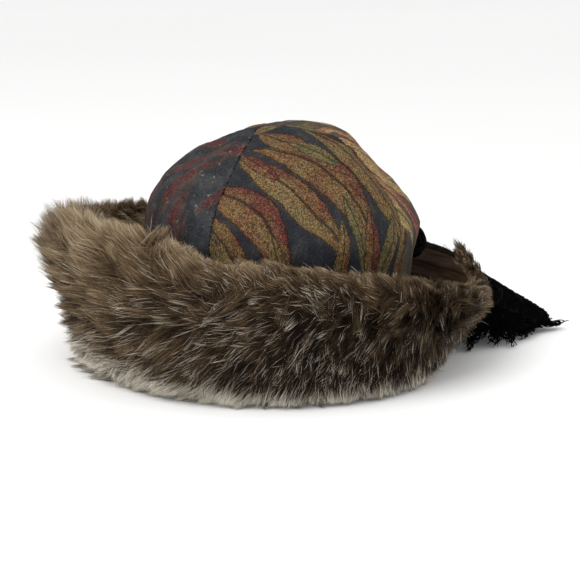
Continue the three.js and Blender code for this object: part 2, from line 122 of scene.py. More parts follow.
def add(tree, kind, inputs=None, **settings):
    """A node with its settings, and numbers, colours or other nodes' outputs put into its inputs."""
    node = tree.nodes.new("ShaderNode" + kind)
    for name, value in settings.items():
        setattr(node, name, value)
    for name, value in (inputs or {}).items():
        if isinstance(value, bpy.types.NodeSocket):
            tree.links.new(value, node.inputs[name])
        else:
            node.inputs[name].default_value = value
    return node


def maths(tree, operation, a, b=0.0):
    return add(tree, "Math", {0: a, 1: b}, operation=operation).outputs[0]


def ramp(tree, factor, stops, smooth="LINEAR"):
    """A row of colours, each at its place from 0 to 1."""
    node = add(tree, "ValToRGB", {"Fac": factor})
    node.color_ramp.interpolation = smooth
    elements = node.color_ramp.elements
    while len(elements) < len(stops):
        elements.new(0.5)
    for element, (place, colour) in zip(elements, stops):
        element.position = place
        element.color = colour
    return node.outputs["Color"]


def blend_colours(tree, share, a, b, way="MIX"):
    node = add(tree, "Mix", data_type="RGBA", blend_type=way)
    for index, value in ((0, share), (6, a), (7, b)):
        if isinstance(value, bpy.types.NodeSocket):
            tree.links.new(value, node.inputs[index])
        else:
            node.inputs[index].default_value = value
    return node.outputs[2]


def blend_values(tree, share, a, b):
    return add(tree, "Mix", {0: share, 2: a, 3: b}, data_type="FLOAT").outputs[0]


def noise(tree, vector, scale, detail=2.0, roughness=0.5):
    """A soft noise, about 0 to 1."""
    inputs = {"Vector": vector, "Scale": scale, "Detail": detail, "Roughness": roughness}
    return add(tree, "TexNoise", inputs).outputs["Fac"]


def waves(tree, vector, scale, distortion, detail, ways):
    """Bands across each of these directions."""
    inputs = {"Vector": vector, "Scale": scale, "Distortion": distortion, "Detail": detail}
    return [add(tree, "TexWave", inputs, bands_direction=way).outputs["Fac"] for way in ways]


def spread(tree, value, low, high, to_low=0.0, to_high=1.0):
    """A value from one range turned into another, softly at both ends."""
    inputs = {0: value, 1: low, 2: high, 3: to_low, 4: to_high}
    return add(tree, "MapRange", inputs, interpolation_type="SMOOTHSTEP").outputs[0]


def bumped(tree, shader, layers):
    """Bumps one on another, each a height in metres and how much of it shows."""
    normal = None
    for height, distance, strength in layers:
        node = add(tree, "Bump", {"Height": height, "Distance": distance, "Strength": strength})
        if normal is not None:
            tree.links.new(normal, node.inputs["Normal"])
        normal = node.outputs["Normal"]
    tree.links.new(normal, shader.inputs["Normal"])


def surface(tree, shader, colour, roughness, shine, bumps=()):
    """Gives a shader its colour, its roughness, the strength of its shine and its layers of bump."""
    tree.links.new(colour, shader.inputs["Base Color"])
    if isinstance(roughness, bpy.types.NodeSocket):
        tree.links.new(roughness, shader.inputs["Roughness"])
    else:
        shader.inputs["Roughness"].default_value = roughness
    shader.inputs["Specular IOR Level"].default_value = shine
    if bumps:
        bumped(tree, shader, bumps)


print("material helpers ready")


# %% [markdown]
# Most pieces start as a primitive or as a merged copy of a solid, whose points are then moved. These
# helpers choose a piece, read and set its points, and apply a modifier at once.


# %% Mesh helpers
def choose(obj):
    """Makes this the only selected object, and the active one."""
    bpy.ops.object.select_all(action="DESELECT")
    obj.select_set(True)
    bpy.context.view_layer.objects.active = obj


def points_of(obj):
    """The piece's points in millimetres."""
    flat = np.empty(len(obj.data.vertices) * 3, np.float32)
    obj.data.vertices.foreach_get("co", flat)
    return flat.reshape(-1, 3).astype(float) / MM


def put(obj, points):
    """Moves the piece's points to these places, in millimetres."""
    obj.data.vertices.foreach_set("co", (points.reshape(-1, 3) * MM).astype(np.float32).ravel())
    obj.data.update()


def normals_of(obj):
    flat = np.empty(len(obj.data.vertices) * 3, np.float32)
    obj.data.vertex_normals.foreach_get("vector", flat)
    return flat.reshape(-1, 3).astype(float)


def modify(obj, kind, **settings):
    """Adds a modifier and applies it."""
    choose(obj)
    modifier = obj.modifiers.new(kind.lower(), kind)
    for name, value in settings.items():
        setattr(modifier, name, value)
    bpy.ops.object.modifier_apply(modifier=modifier.name)


def outwards(obj):
    """Turns all faces of a closed piece outwards."""
    choose(obj)
    bpy.ops.object.mode_set(mode="EDIT")
    bpy.ops.mesh.select_all(action="SELECT")
    bpy.ops.mesh.normals_make_consistent(inside=False)
    bpy.ops.object.mode_set(mode="OBJECT")


def smooth_look(obj, degrees=60):
    choose(obj)
    bpy.ops.object.shade_smooth_by_angle(angle=math.radians(degrees))


def finish_piece(obj, material, slot_name, *nodes):
    """Dresses a piece, lets it ride on the hat and hides the solids it stands for."""
    obj.data.materials.clear()
    obj.data.materials.append(material)
    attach(obj, "root")
    if nodes:
        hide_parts(*nodes)
    print(obj.name, len(obj.data.polygons), "faces")


def merged_copy(node, name):
    """A copy of a solid as one skin of quads, ready to be subdivided."""
    obj = bpy.data.objects.new(name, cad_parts[node].data.copy())
    scene.collection.objects.link(obj)
    choose(obj)
    bpy.ops.object.mode_set(mode="EDIT")
    bpy.ops.mesh.select_all(action="SELECT")
    bpy.ops.mesh.remove_doubles(threshold=1e-5)
    bpy.ops.mesh.tris_convert_to_quads(face_threshold=math.radians(60), shape_threshold=math.radians(70))
    bpy.ops.object.mode_set(mode="OBJECT")
    return obj


def ring_of(name, turns, points, section):
    """A closed ring round the hat: a torus whose points are put on the section at each azimuth."""
    bpy.ops.object.select_all(action="DESELECT")
    bpy.ops.mesh.primitive_torus_add(major_segments=turns, minor_segments=points)
    obj = bpy.context.active_object
    obj.name = name
    azimuths = np.arange(turns) * 360 / turns
    put(obj, np.array([polar(np.full(points, a), *section(a).T) for a in azimuths]))
    outwards(obj)
    smooth_look(obj, 180)
    return obj


def soft_noise(points, size, seed):
    """A smooth random value at each point, about -1 to 1, from a few crossing waves."""
    draw = np.random.default_rng(seed)
    value = np.zeros(len(points))
    for scale, share in ((1, 0.55), (1.9, 0.3), (3.7, 0.15)):
        for _ in range(4):
            heading = draw.normal(size=3)
            heading *= 2 * math.pi * scale / (size * np.linalg.norm(heading))
            value += 0.5 * share * np.sin(points @ heading + draw.uniform(0, 2 * math.pi))
    return value


def polar(azimuth, r, z):
    """Points at azimuths in degrees, 0 in front and 90 on the right."""
    turn = np.radians(azimuth)
    return np.stack([r * np.sin(turn), -r * np.cos(turn), z + 0 * turn], -1) + AXIS


def azimuth_of(offsets):
    """The azimuth in degrees of each offset from the axis."""
    return np.degrees(np.arctan2(offsets[..., 0], -offsets[..., 1]))


print("mesh helpers ready")

# %% [markdown]
# The floor is a plain pale sheet of paper, wide enough to fill the picture from every side. It is
# not part of the hat.

# %% Floor
bpy.ops.object.select_all(action="DESELECT")
bpy.ops.mesh.primitive_plane_add(size=30)
floor = bpy.context.active_object
floor.name = "floor"
paper, tree, shader = new_material("paper")
grain = add(tree, "TexNoise", {"Scale": 40.0, "Detail": 4.0})
PAPER = [(0.3, (0.93, 0.93, 0.925, 1)), (0.7, (0.95, 0.95, 0.945, 1))]
paper_tone = ramp(tree, grain.outputs["Fac"], PAPER)
tree.links.new(paper_tone, shader.inputs["Base Color"])
shader.inputs["Roughness"].default_value = 0.9
floor.data.materials.append(paper)
print("floor ready")

# %% [markdown]
# The brocade is woven from coloured threads: large leaves in gold, rust and maroon lie on dark
# slate. Woven leaves have hard edges but speckled faces, because threads of several colours show
# side by side. So the leaves are drawn as shapes on the cloth's own flat coordinates, and each
# thread then picks its colour near the tone of its leaf.


# %% Leaf shape
LEAF_SOCKETS = {"Centre": "Vector", "Angle": "Float", "Long": "Float", "Wide": "Float", "Bend": "Float",
                "Tone": "Float", "Soft": "Float"}


def thin_lines(tree, value, width):
    """Fine lines where a value crosses the whole multiples of a half turn."""
    wave = maths(tree, "ABSOLUTE", maths(tree, "SINE", value))
    return spread(tree, wave, 0.0, width, 1.0, 0.0)


def leaf_group():
    """A pointed leaf: its cover from 0 to 1, the tone of its threads, and its dark outline and veins."""
    group = bpy.data.node_groups.new("leaf_shape", "ShaderNodeTree")
    group.interface.new_socket("Vector", in_out="INPUT", socket_type="NodeSocketVector")
    for name, kind in LEAF_SOCKETS.items():
        group.interface.new_socket(name, in_out="INPUT", socket_type="NodeSocket" + kind)
    for name in ("Cover", "Tone", "Line", "Gilt"):
        group.interface.new_socket(name, in_out="OUTPUT", socket_type="NodeSocketFloat")
    into = group.nodes.new("NodeGroupInput").outputs
    out = group.nodes.new("NodeGroupOutput").inputs
    turned = add(group, "VectorRotate", {"Vector": into["Vector"], "Center": into["Centre"],
                                         "Angle": into["Angle"]}, rotation_type="Z_AXIS", invert=True)
    local = add(group, "VectorMath", {0: turned.outputs[0], 1: into["Centre"]}, operation="SUBTRACT")
    parts = add(group, "SeparateXYZ", {0: local.outputs[0]}).outputs
    along = maths(group, "DIVIDE", parts["X"], into["Long"])
    square = maths(group, "MULTIPLY", along, along)
    bent = maths(group, "ADD", parts["Y"], maths(group, "MULTIPLY", square, into["Bend"]))
    across = maths(group, "DIVIDE", bent, into["Wide"])
    side = maths(group, "ABSOLUTE", across)
    left = maths(group, "SUBTRACT", maths(group, "SUBTRACT", 1.0, square), side)
    cover = spread(group, left, 0.0, maths(group, "ADD", 0.04, into["Soft"]))
    outline = spread(group, left, 0.06, 0.17, 1.0, 0.0)
    rib = spread(group, maths(group, "ABSOLUTE", maths(group, "ADD", across, 0.12)), 0.04, 0.11, 0.9, 0.0)
    veins = thin_lines(group, maths(group, "SUBTRACT", maths(group, "MULTIPLY", along, 11.0),
                                    maths(group, "MULTIPLY", side, 6.0)), 0.3)
    contours = thin_lines(group, maths(group, "MULTIPLY", left, 9.0), 0.34)
    one_side = spread(group, across, -0.16, -0.06)
    other_side = maths(group, "SUBTRACT", 1.0, one_side)
    inner = maths(group, "MULTIPLY", veins, maths(group, "MULTIPLY", other_side, 0.6))
    line = maths(group, "MAXIMUM", maths(group, "MAXIMUM", outline, rib), inner)
    gilt = maths(group, "MULTIPLY", contours, maths(group, "MULTIPLY", one_side, 0.7))
    tone = maths(group, "ADD", into["Tone"], maths(group, "MULTIPLY", across, 0.16))
    tone = maths(group, "SUBTRACT", tone, maths(group, "MULTIPLY", side, 0.12))
    group.links.new(cover, out["Cover"])
    group.links.new(tone, out["Tone"])
    drawn = spread(group, into["Soft"], 0.0, 0.5, 1.0, 0.15)
    group.links.new(maths(group, "MULTIPLY", line, drawn), out["Line"])
    group.links.new(maths(group, "MULTIPLY", gilt, drawn), out["Gilt"])
    return group


LEAF = leaf_group()
print("leaf shape ready")

# %% [markdown]
# Each gore was cut from another part of the cloth, so each has its own table of leaves. A leaf has
# its centre and half sizes in millimetres on the flat cloth, measured from the crown's apex: x runs
# round the hat and y down the gore. The tone picks its threads, from maroon at 0 to olive at 1.

# %% Leaves of each gore
THREADS = [(0.0, srgb(94, 37, 42)), (0.2, srgb(104, 60, 44)), (0.4, srgb(116, 81, 52)),
           (0.6, srgb(123, 100, 63)), (0.8, srgb(126, 110, 72)), (1.0, srgb(78, 82, 54))]
# x, y, angle, half length, half width, bend, tone
GORES = {
    "crown_panel_front": {
        "middle": 15.5, "ground": srgb(40, 42, 47), "second": srgb(50, 51, 54), "soft": 0.0, "painted_light": 1.0,
        "leaves": [
            (84, 92, 44, 44, 8, -4, 0.42), (58, 84, 47, 62, 12, 5, 0.6), (30, 90, 51, 66, 15, -6, 0.44),
            (10, 112, 58, 30, 8, 4, 0.3), (2, 98, 56, 56, 12, 5, 0.56), (-25, 104, 60, 54, 14, -5, 0.38),
            (-49, 118, 67, 44, 11, 4, 0.62), (6, 46, 58, 26, 8, 3, 0.5), (32, 34, 32, 24, 10, 4, 0.84),
            (64, 42, 26, 34, 9, -4, 0.46), (46, 124, 56, 24, 6, 3, 0.94), (62, 130, 60, 22, 8, 4, 0.34),
            (-62, 92, 76, 22, 6, 3, 0.94), (-14, 66, 66, 22, 5, 2, 0.3), (-2, 16, 30, 16, 6, 2, 0.66),
            (96, 120, 62, 26, 9, 4, 0.52), (-12, 138, 70, 20, 6, 3, 0.7), (77, 128, 84, 25, 7, 3, 0.86),
            (36, 140, 74, 22, 6, 3, 0.6), (84, 66, 38, 26, 7, 3, 0.34), (22, 66, 48, 22, 5, 2, 0.9),
        ],
    },
    "crown_panel_left": {
        "middle": -76.5, "ground": srgb(44, 45, 48), "second": srgb(56, 58, 62), "soft": 0.85, "painted_light": 1.0,
        "leaves": [
            (-34, 58, -54, 44, 13, 5, 0.0), (26, 74, -84, 40, 13, -5, 0.02), (-10, 100, -88, 44, 12, 5, 0.02),
            (46, 108, -97, 44, 11, 4, 0.0), (-54, 100, -74, 44, 12, 4, 0.0), (26, 32, -40, 34, 12, 3, 0.02),
            (14, 128, -92, 34, 11, 4, 0.0), (62, 66, -86, 22, 7, 2, 0.0), (-30, 128, -90, 26, 9, 3, 0.0),
            (60, 118, -96, 36, 12, 4, 0.02), (-14, 37, -24, 24, 11, 3, 0.04), (6, 58, -70, 30, 13, 4, 0.0),
        ],
    },
    # The right gore's colour is multiplied by 2.1: painted light on the side away from the lamp.
    "crown_panel_right": {
        "middle": 106, "ground": srgb(44, 42, 44), "second": srgb(62, 52, 36), "soft": 0.0, "painted_light": 2.1,
        "leaves": [
            (-70, 92, 84, 50, 14, 5, 0.72), (-50, 88, 80, 54, 8, -4, 0.3), (-34, 92, 74, 60, 14, 5, 0.64),
            (-8, 96, 70, 62, 12, 6, 0.44), (20, 88, 64, 56, 13, -5, 0.58), (50, 104, 58, 46, 13, 5, 0.36),
            (-46, 132, 86, 30, 6, 3, 0.14), (4, 44, 60, 26, 7, 3, 0.9), (46, 54, 40, 30, 8, 4, 0.6),
            (80, 76, 50, 32, 9, 4, 0.7), (-26, 44, 66, 24, 5, 3, 0.4), (10, 132, 72, 30, 8, 4, 0.56),
        ],
    },
    "crown_panel_back": {
        "middle": 194, "ground": srgb(38, 40, 46), "second": srgb(50, 48, 50), "soft": 0.0, "painted_light": 1.0,
        "leaves": [
            (-44, 84, 58, 46, 9, 5, 0.48), (-18, 92, 54, 58, 10, -6, 0.36), (10, 84, 50, 56, 8, 5, 0.6),
            (36, 78, 44, 52, 11, 6, 0.44), (64, 100, 58, 42, 10, 4, 0.28), (12, 42, 38, 24, 7, 3, 0.92),
            (-20, 132, 64, 34, 8, 4, 0.4), (-60, 56, 40, 28, 7, 3, 0.3), (34, 128, 52, 28, 8, -4, 0.58),
            (72, 58, 34, 26, 7, 3, 0.8), (-62, 112, 66, 30, 8, 4, 0.66), (0, 14, 30, 18, 5, 2, 0.5),
        ],
    },
}
print({name: len(gore["leaves"]) for name, gore in GORES.items()})


# %% [markdown]
# The threads are about six tenths of a millimetre apart, so the cloth is cut into cells of that size.
# The leaves are looked up once for each cell, so that their edges step from thread to thread as
# woven edges do. Each leaf lies over the one before it in the table.


# %% Woven leaves
THREAD = 0.62
DARK_THREADS = 0.4
# The seam tint is near black: a dark seam line, partly painted shade in the valley between gores.
TINTS = {"spark": srgb(86, 80, 74), "gilt": srgb(136, 116, 74), "dark": srgb(36, 30, 28),
         "outline": srgb(26, 23, 24), "spray": srgb(74, 70, 50), "fleck": srgb(92, 86, 80),
         "worn": srgb(136, 136, 128), "seam": srgb(12, 11, 12)}


def moved(tree, vector, size, distance):
    """The vector, swayed by a soft noise."""
    sway = add(tree, "TexNoise", {"Vector": vector, "Scale": 1 / size, "Detail": 2.0}).outputs["Color"]
    even = add(tree, "VectorMath", {0: sway, 1: (0.5, 0.5, 0.5)}, operation="SUBTRACT").outputs[0]
    scaled = add(tree, "VectorMath", {0: even, "Scale": distance}, operation="SCALE").outputs[0]
    return add(tree, "VectorMath", {0: vector, 1: scaled}, operation="ADD").outputs[0]


def draw_leaves(tree, gore, drawn):
    """The gore's leaves, each over the one before: their cover, tone, lines and gilt."""
    cover, tone, line, gilt = 0.0, 0.5, 0.0, 0.0
    for x, y, angle, long, wide, bend, leaf_tone in gore["leaves"]:
        inputs = {"Vector": drawn, "Centre": (x, y, 0), "Angle": math.radians(angle), "Long": long,
                  "Wide": wide, "Bend": bend, "Tone": leaf_tone, "Soft": gore["soft"]}
        leaf = add(tree, "Group", inputs, node_tree=LEAF).outputs
        tone = blend_values(tree, leaf["Cover"], tone, leaf["Tone"])
        line = blend_values(tree, leaf["Cover"], line, leaf["Line"])
        gilt = blend_values(tree, leaf["Cover"], gilt, leaf["Gilt"])
        cover = maths(tree, "MAXIMUM", cover, leaf["Cover"])
    if gore["soft"] > 0:
        broken = noise(tree, drawn, 0.11, 4.0, 0.6)
        cover = maths(tree, "MULTIPLY", cover, spread(tree, broken, 0.38, 0.54, 0.25, 1.0))
    return cover, tone, line, gilt


print("tints", list(TINTS))


# %% [markdown]
# Each crossing of threads has its own random number, which shifts its tone and brightness. The
# ground is dark slate with faint sprays and flecks. The right gore, which faces away from the lamp,
# is made brighter all over: painted light. The bump carries the weave, and the leaves stand a
# little proud.


# %% Brocade
def brocade(name, gore):
    """The woven cloth of one gore."""
    material, tree, shader = new_material(name)
    soft = gore["soft"] > 0
    cloth = add(tree, "Attribute", attribute_name="cloth").outputs["Vector"]
    cell = add(tree, "VectorMath", {0: cloth, 1: (THREAD, THREAD, THREAD)}, operation="SNAP").outputs[0]
    drawn = moved(tree, moved(tree, cell, 34, 6.0), 6, 1.4)
    cover, tone, line, gilt = draw_leaves(tree, gore, drawn)
    speck = add(tree, "TexWhiteNoise", {"Vector": cell}, noise_dimensions="2D")
    picks = add(tree, "SeparateColor", {0: speck.outputs["Color"]}).outputs
    patch = noise(tree, cloth, 0.07, 3.0)

    shift = maths(tree, "MULTIPLY", maths(tree, "SUBTRACT", picks[0], 0.5), 0.45)
    shift = maths(tree, "ADD", shift, maths(tree, "MULTIPLY", maths(tree, "SUBTRACT", patch, 0.5), 1.1))
    calm = maths(tree, "MULTIPLY", shift, 0.3 if soft else 1.0)
    threads = ramp(tree, maths(tree, "ADD", tone, calm), THREADS)
    spark = spread(tree, picks[2], 0.76, 0.8, 0.0, 0.7)
    threads = blend_colours(tree, spark, threads, TINTS["spark"])
    threads = blend_colours(tree, gilt, threads, TINTS["gilt"])
    dark_thread = spread(tree, picks[1], 1 - DARK_THREADS - 0.03, 1 - DARK_THREADS + 0.03, 0.0, 0.66)
    threads = blend_colours(tree, dark_thread, threads, TINTS["dark"])
    threads = blend_colours(tree, maths(tree, "MULTIPLY", line, 0.8), threads, TINTS["outline"])

    ground = blend_colours(tree, spread(tree, patch, 0.42, 0.6), gore["ground"], gore["second"])
    scales = add(tree, "TexVoronoi", {"Vector": drawn, "Scale": 0.11}, feature="DISTANCE_TO_EDGE").outputs[0]
    in_patch = spread(tree, patch, 0.53, 0.64, 0.0, 0.4)
    sprays = maths(tree, "MULTIPLY", spread(tree, scales, 0.03, 0.1, 1.0, 0.0), in_patch)
    ground = blend_colours(tree, sprays, ground, TINTS["spray"])
    fleck = spread(tree, picks[2], 0.88, 0.92, 0.0, 0.34 if soft else 0.2)
    ground = blend_colours(tree, fleck, ground, TINTS["fleck"])

    colour = blend_colours(tree, cover, ground, threads)
    if soft:
        dots = spread(tree, noise(tree, drawn, 0.2, 3.0, 0.7), 0.61, 0.69)
        worn = maths(tree, "MULTIPLY", dots, spread(tree, picks[1], 0.3, 0.5))
        colour = blend_colours(tree, maths(tree, "MULTIPLY", worn, 0.6), colour, TINTS["worn"])
    # Random brightness of each thread, times the gore's factor: painted light on the right gore.
    light = blend_values(tree, picks[0], 0.76 * gore["painted_light"], 1.22 * gore["painted_light"])
    grey = add(tree, "CombineColor", {0: light, 1: light, 2: light}).outputs[0]
    colour = blend_colours(tree, 1.0, colour, grey, "MULTIPLY")
    # Within about 1.7 mm of a seam the colour darkens: a dark seam line and painted shade in its valley.
    at_seam = add(tree, "Attribute", attribute_name="to_seam").outputs["Fac"]
    colour = blend_colours(tree, spread(tree, at_seam, 0.5, 1.7, 0.85, 0.0), colour, TINTS["seam"])

    weave = maths(tree, "MAXIMUM", *waves(tree, cloth, 0.4, 0.6, 1.0, "XY"))
    crumple = noise(tree, cloth, 0.06, 4.0, 0.55)
    bumps = [(crumple, 0.004, 0.6), (cover, 0.0004, 0.5), (weave, 0.0004, 0.5), (picks[1], 0.0004, 0.6)]
    surface(tree, shader, colour, spread(tree, cover, 0.0, 1.0, 0.85, 0.7), 0.04, bumps)
    return material


BROCADES = {name: brocade("brocade_" + name.split("_")[-1], gore) for name, gore in GORES.items()}
print("brocades", len(BROCADES))

# %% [markdown]
# A gore is a wall of cloth with rounded edges where it is turned in at the seams. The gore's solid
# already has the form, so its merged copy is subdivided: the edges round themselves, and two
# neighbours then meet in a narrow valley. Thread pulls the cloth beside a seam into small puckers.

# %% Crown gores
APEX = np.array([-18.0, 0.0, 174.0]) + AXIS
SEAM_CREASE = 0.45
SWELL = 1.004
# How far the soft top has settled, in mm, by place across the hat.
SETTLED = np.array([[-80, 1.0], [-66, 2.6], [-45, 5.4], [-20, 4.0], [10, 2.4], [50, -1.0], [80, -0.5]])
PUCKER = {"height": 0.55, "wave": 8.5, "reach": 9}
CLOTH_STRETCH = 1.08
# Folds of the soft crown: points that the fold runs through, its height and its half width.
FOLDS = [([(-26, -18, 168), (-34, -26, 163), (-47, -37, 152), (-60, -38, 142), (-74, -40, 122)], 2.4, 5.0),
         ([(64, -72, 124), (70, -70, 104), (71, -66, 84), (70, -66, 66)], -2.0, 6.0),
         ([(-70, -52, 118), (-72, -58, 100), (-70, -62, 84)], 1.6, 6.0),
         ([(10, -96, 98), (26, -92, 84), (40, -84, 74)], 1.5, 7.0)]
# Slack of the cloth over the whole gore and in small waves: height, size and seed.
SLACK = [(1.3, 52, 5), (0.5, 19, 6)]
# The height above which the top settles, and over how many mm it sets in.
SETTLE_FROM, SETTLE_OVER = 112, 42


def flat_cloth(obj, middle, to_seam):
    """Stores each point's place on the flat cloth, from the apex down and round from the gore's middle,
    and how far it is from the nearest seam."""
    away = points_of(obj) - APEX
    turn = np.radians(azimuth_of(away) - middle)
    turn = (turn + math.pi) % (2 * math.pi) - math.pi
    down = CLOTH_STRETCH * np.linalg.norm(away, axis=1)
    place = np.stack([down * np.sin(0.8 * turn), down * np.cos(0.8 * turn), 0 * down], -1)
    attribute = obj.data.attributes.new("cloth", "FLOAT_VECTOR", "POINT")
    attribute.data.foreach_set("vector", place.astype(np.float32).ravel())
    attribute = obj.data.attributes.new("to_seam", "FLOAT", "POINT")
    attribute.data.foreach_set("value", to_seam.astype(np.float32))


def folded(points):
    """How far each point stands out in the crown's soft folds."""
    height = np.zeros(len(points))
    for route, rise, width in FOLDS:
        line = np.concatenate([np.linspace(a, b, 12) for a, b in zip(route, route[1:])]) + AXIS
        away = np.min([np.linalg.norm(points - spot, axis=1) for spot in line], axis=0) / width
        height += rise * (1 - away**2) * np.exp(-(away**2))
    return height


def sewn_gore(name, gore):
    """A gore with creased seams, puckers beside them, slack, folds and a settled top."""
    obj = merged_copy(name, "sewn_" + name)
    bpy.ops.object.mode_set(mode="EDIT")
    bpy.ops.mesh.select_all(action="DESELECT")
    bpy.ops.mesh.edges_select_sharp(sharpness=math.radians(50))
    bpy.ops.transform.edge_crease(value=SEAM_CREASE)
    bpy.ops.object.mode_set(mode="OBJECT")
    sharp_edges = [edge.vertices for edge in obj.data.edges if edge.select]
    seam = KDTree(2 * len(sharp_edges))
    for index, pair in enumerate(sharp_edges):
        a, b = (Vector(obj.data.vertices[v].co) for v in pair)
        seam.insert(a, 2 * index)
        seam.insert((a + b) / 2, 2 * index + 1)
    seam.balance()
    modify(obj, "SUBSURF", levels=2, render_levels=2)

    points, normals = points_of(obj), normals_of(obj)
    far = np.array([seam.find(Vector(p * MM))[2] for p in points]) / MM
    run = points @ np.array([0.35, 0.35, 1.0])
    ripple = np.sin(2 * math.pi * run / PUCKER["wave"] + 2 * soft_noise(points, 60, 3))
    pull = PUCKER["height"] * ripple * np.exp(-(far / PUCKER["reach"]) ** 2) * (far > 1.5)
    slack = sum(height * soft_noise(points, size, seed) for height, size, seed in SLACK) + folded(points)
    centre = points.mean(0)
    points = centre + SWELL * (points - centre) + normals * (pull + slack * np.minimum(far / 12, 1))[:, None]
    high_up = np.clip((points[:, 2] - SETTLE_FROM) / SETTLE_OVER, 0, 1)
    drop = np.interp((points - AXIS)[:, 0], *SETTLED.T)
    points[:, 2] -= drop * high_up**2 * (3 - 2 * high_up)
    put(obj, points)
    flat_cloth(obj, gore["middle"], far)
    smooth_look(obj, 180)
    finish_piece(obj, BROCADES[name], "brocade", name)


for name, gore in GORES.items():
    sewn_gore(name, gore)

# %% [markdown]
# Edges and sections are given by a few points each. These two tools draw a smooth curve through such
# points. Its speed at a point depends on how far apart the points are, so it doesn't overshoot.


# %% Smooth curves
def smooth_line(points, places):
    """Points of the smooth curve through these, at places from 0 to 1 with each span an equal share."""
    points = np.asarray(points, float)
    padded = np.vstack([2 * points[0] - points[1], points, 2 * points[-1] - points[-2]])
    steps = np.sqrt(np.maximum(np.linalg.norm(np.diff(padded, axis=0), axis=1), 1e-9))
    place = np.clip(places, 0, 1) * (len(points) - 1)
    i = np.minimum(place.astype(int), len(points) - 2)
    t = (place - i)[:, None]
    p0, p1, p2, p3 = (padded[i + k] for k in range(4))
    d0, d1, d2 = (steps[i + k][:, None] for k in range(3))
    m1 = ((p1 - p0) / d0 - (p2 - p0) / (d0 + d1) + (p2 - p1) / d1) * d1
    m2 = ((p2 - p1) / d1 - (p3 - p1) / (d1 + d2) + (p3 - p2) / d2) * d1
    return ((2 * t**3 - 3 * t**2 + 1) * p1 + (t**3 - 2 * t**2 + t) * m1
            + (3 * t**2 - 2 * t**3) * p2 + (t**3 - t**2) * m2)


def even_line(points, count):
    """The same curve as evenly spaced points."""
    fine = smooth_line(points, np.linspace(0, 1, 25 * len(points)))
    run = np.concatenate([[0], np.cumsum(np.linalg.norm(np.diff(fine, axis=0), axis=1))])
    wanted = np.linspace(0, run[-1], count)
    return np.stack([np.interp(wanted, run, column) for column in fine.T], -1), run[-1]


print("curves ready")

# %% [markdown]
# Everything on the cuff follows its section, which changes round the hat: low and wide on the right,
# high on the left. The table gives the section at each eighth of a turn, and a smooth curve joins
# them: rim radius and height, floor radius, belly radius and height, depth of the fur at the rim,
# and how long the hair is beside that of the front.

# %% Cuff sections
CUFF = np.array([
    [111, 83, 109, 127, 42, 17, 1.0], [120, 70, 105, 122, 34, 13, 0.8], [138, 54, 95, 117, 25, 10, 0.55],
    [134, 71, 109, 133, 30, 12, 0.6], [130, 77, 115, 137, 37, 14, 0.8], [140, 87, 120, 147, 44, 17, 0.95],
    [147, 94, 132, 151, 60, 17, 1.1], [124, 92, 114, 140, 50, 19, 1.0]])
# Where the soft rim bends up or down: azimuth, height and spread.
RIM_BENDS = [(110, 8, 18), (318, 4, 10), (338, -6, 11)]
FACING_FOOT = np.array([91.6, 6.0])
# Where the facing bends, as shares of the way from its foot to the rim.
FACING_KNEE = np.array([0.28, 0.45])
LIP = {"drop": 11, "rise": 5, "inward": 6}


def around(table, azimuth):
    """The table's row or value at each azimuth, smoothly between its own, which go once round the hat."""
    place = np.mod(np.atleast_1d(azimuth), 360) * len(table) / 360
    first = np.floor(place).astype(int)
    t = (place - first).reshape(-1, *[1] * (table.ndim - 1))
    a, b, c, d = (table[(first + step) % len(table)] for step in (-1, 0, 1, 2))
    bend = t * t * (3 - 2 * t)
    return b + (c - b) * bend + (c - a) / 2 * t * (1 - t) ** 2 - (d - b) / 2 * t * t * (1 - t)


def cuff_row(azimuth):
    """The table's row at one azimuth, with the bends of the soft rim."""
    row = around(CUFF, azimuth)[0].copy()
    for place, height, spread_out in RIM_BENDS:
        away = (azimuth - place + 180) % 360 - 180
        row[1] += height * math.exp(-((away / spread_out) ** 2))
    return row


def cuff_section(azimuth, count):
    """The fur's outer face in its own plane, from the floor over belly and rim to the lip, and its length."""
    rim_r, rim_z, floor_r, belly_r, belly_z, depth, hair = cuff_row(azimuth)
    rim = np.array([rim_r, rim_z])
    knee = FACING_FOOT + (rim - FACING_FOOT) * FACING_KNEE
    up = (rim - knee) / np.linalg.norm(rim - knee)
    out = np.array([up[1], -up[0]])
    rise, inward = LIP["rise"] * hair, LIP["inward"] * hair
    # Two points from the floor to the belly, the belly, under the rim, over it, and three down the lip.
    places = [(floor_r, 0), (floor_r + 0.72 * (belly_r - floor_r), 0.36 * belly_z), (belly_r, belly_z),
              rim + depth * out - 2 * up, rim + 0.45 * depth * out + (rise + 1) * up,
              rim - 0.5 * inward * out + rise * up, rim - inward * out - up,
              rim - 0.7 * inward * out + (3 - LIP["drop"] * hair) * up]
    return even_line(places, count)


TURNS, STEPS = 180, 64
SECTIONS, LENGTHS = [], []
for azimuth in np.arange(TURNS) * 360 / TURNS:
    section, length = cuff_section(azimuth, STEPS + 1)
    SECTIONS.append(section)
    LENGTHS.append(length)
SECTIONS, LENGTHS = np.array(SECTIONS), np.array(LENGTHS)
print("fur section", round(LENGTHS.min()), "to", round(LENGTHS.max()), "mm long")


# %% [markdown]
# Under all fur is a skin with dense dark down. It fills the cuff so that nothing shows between the
# hairs, and its near-black colour is partly painted shade deep between the locks. A torus has the
# right topology, a ring of closed sections, so one is added and its points are put on the cuff's
# sections, a little inside the outer face.


# %% Fur body
DOWN_INSET = 5.0
BODY_POINTS = 40
# The inset at the floor is the floor radius less this one, within limits.
FLOOR_CORE, FLOOR_INSET = 99, (3, 13)
LOWEST = 0.4


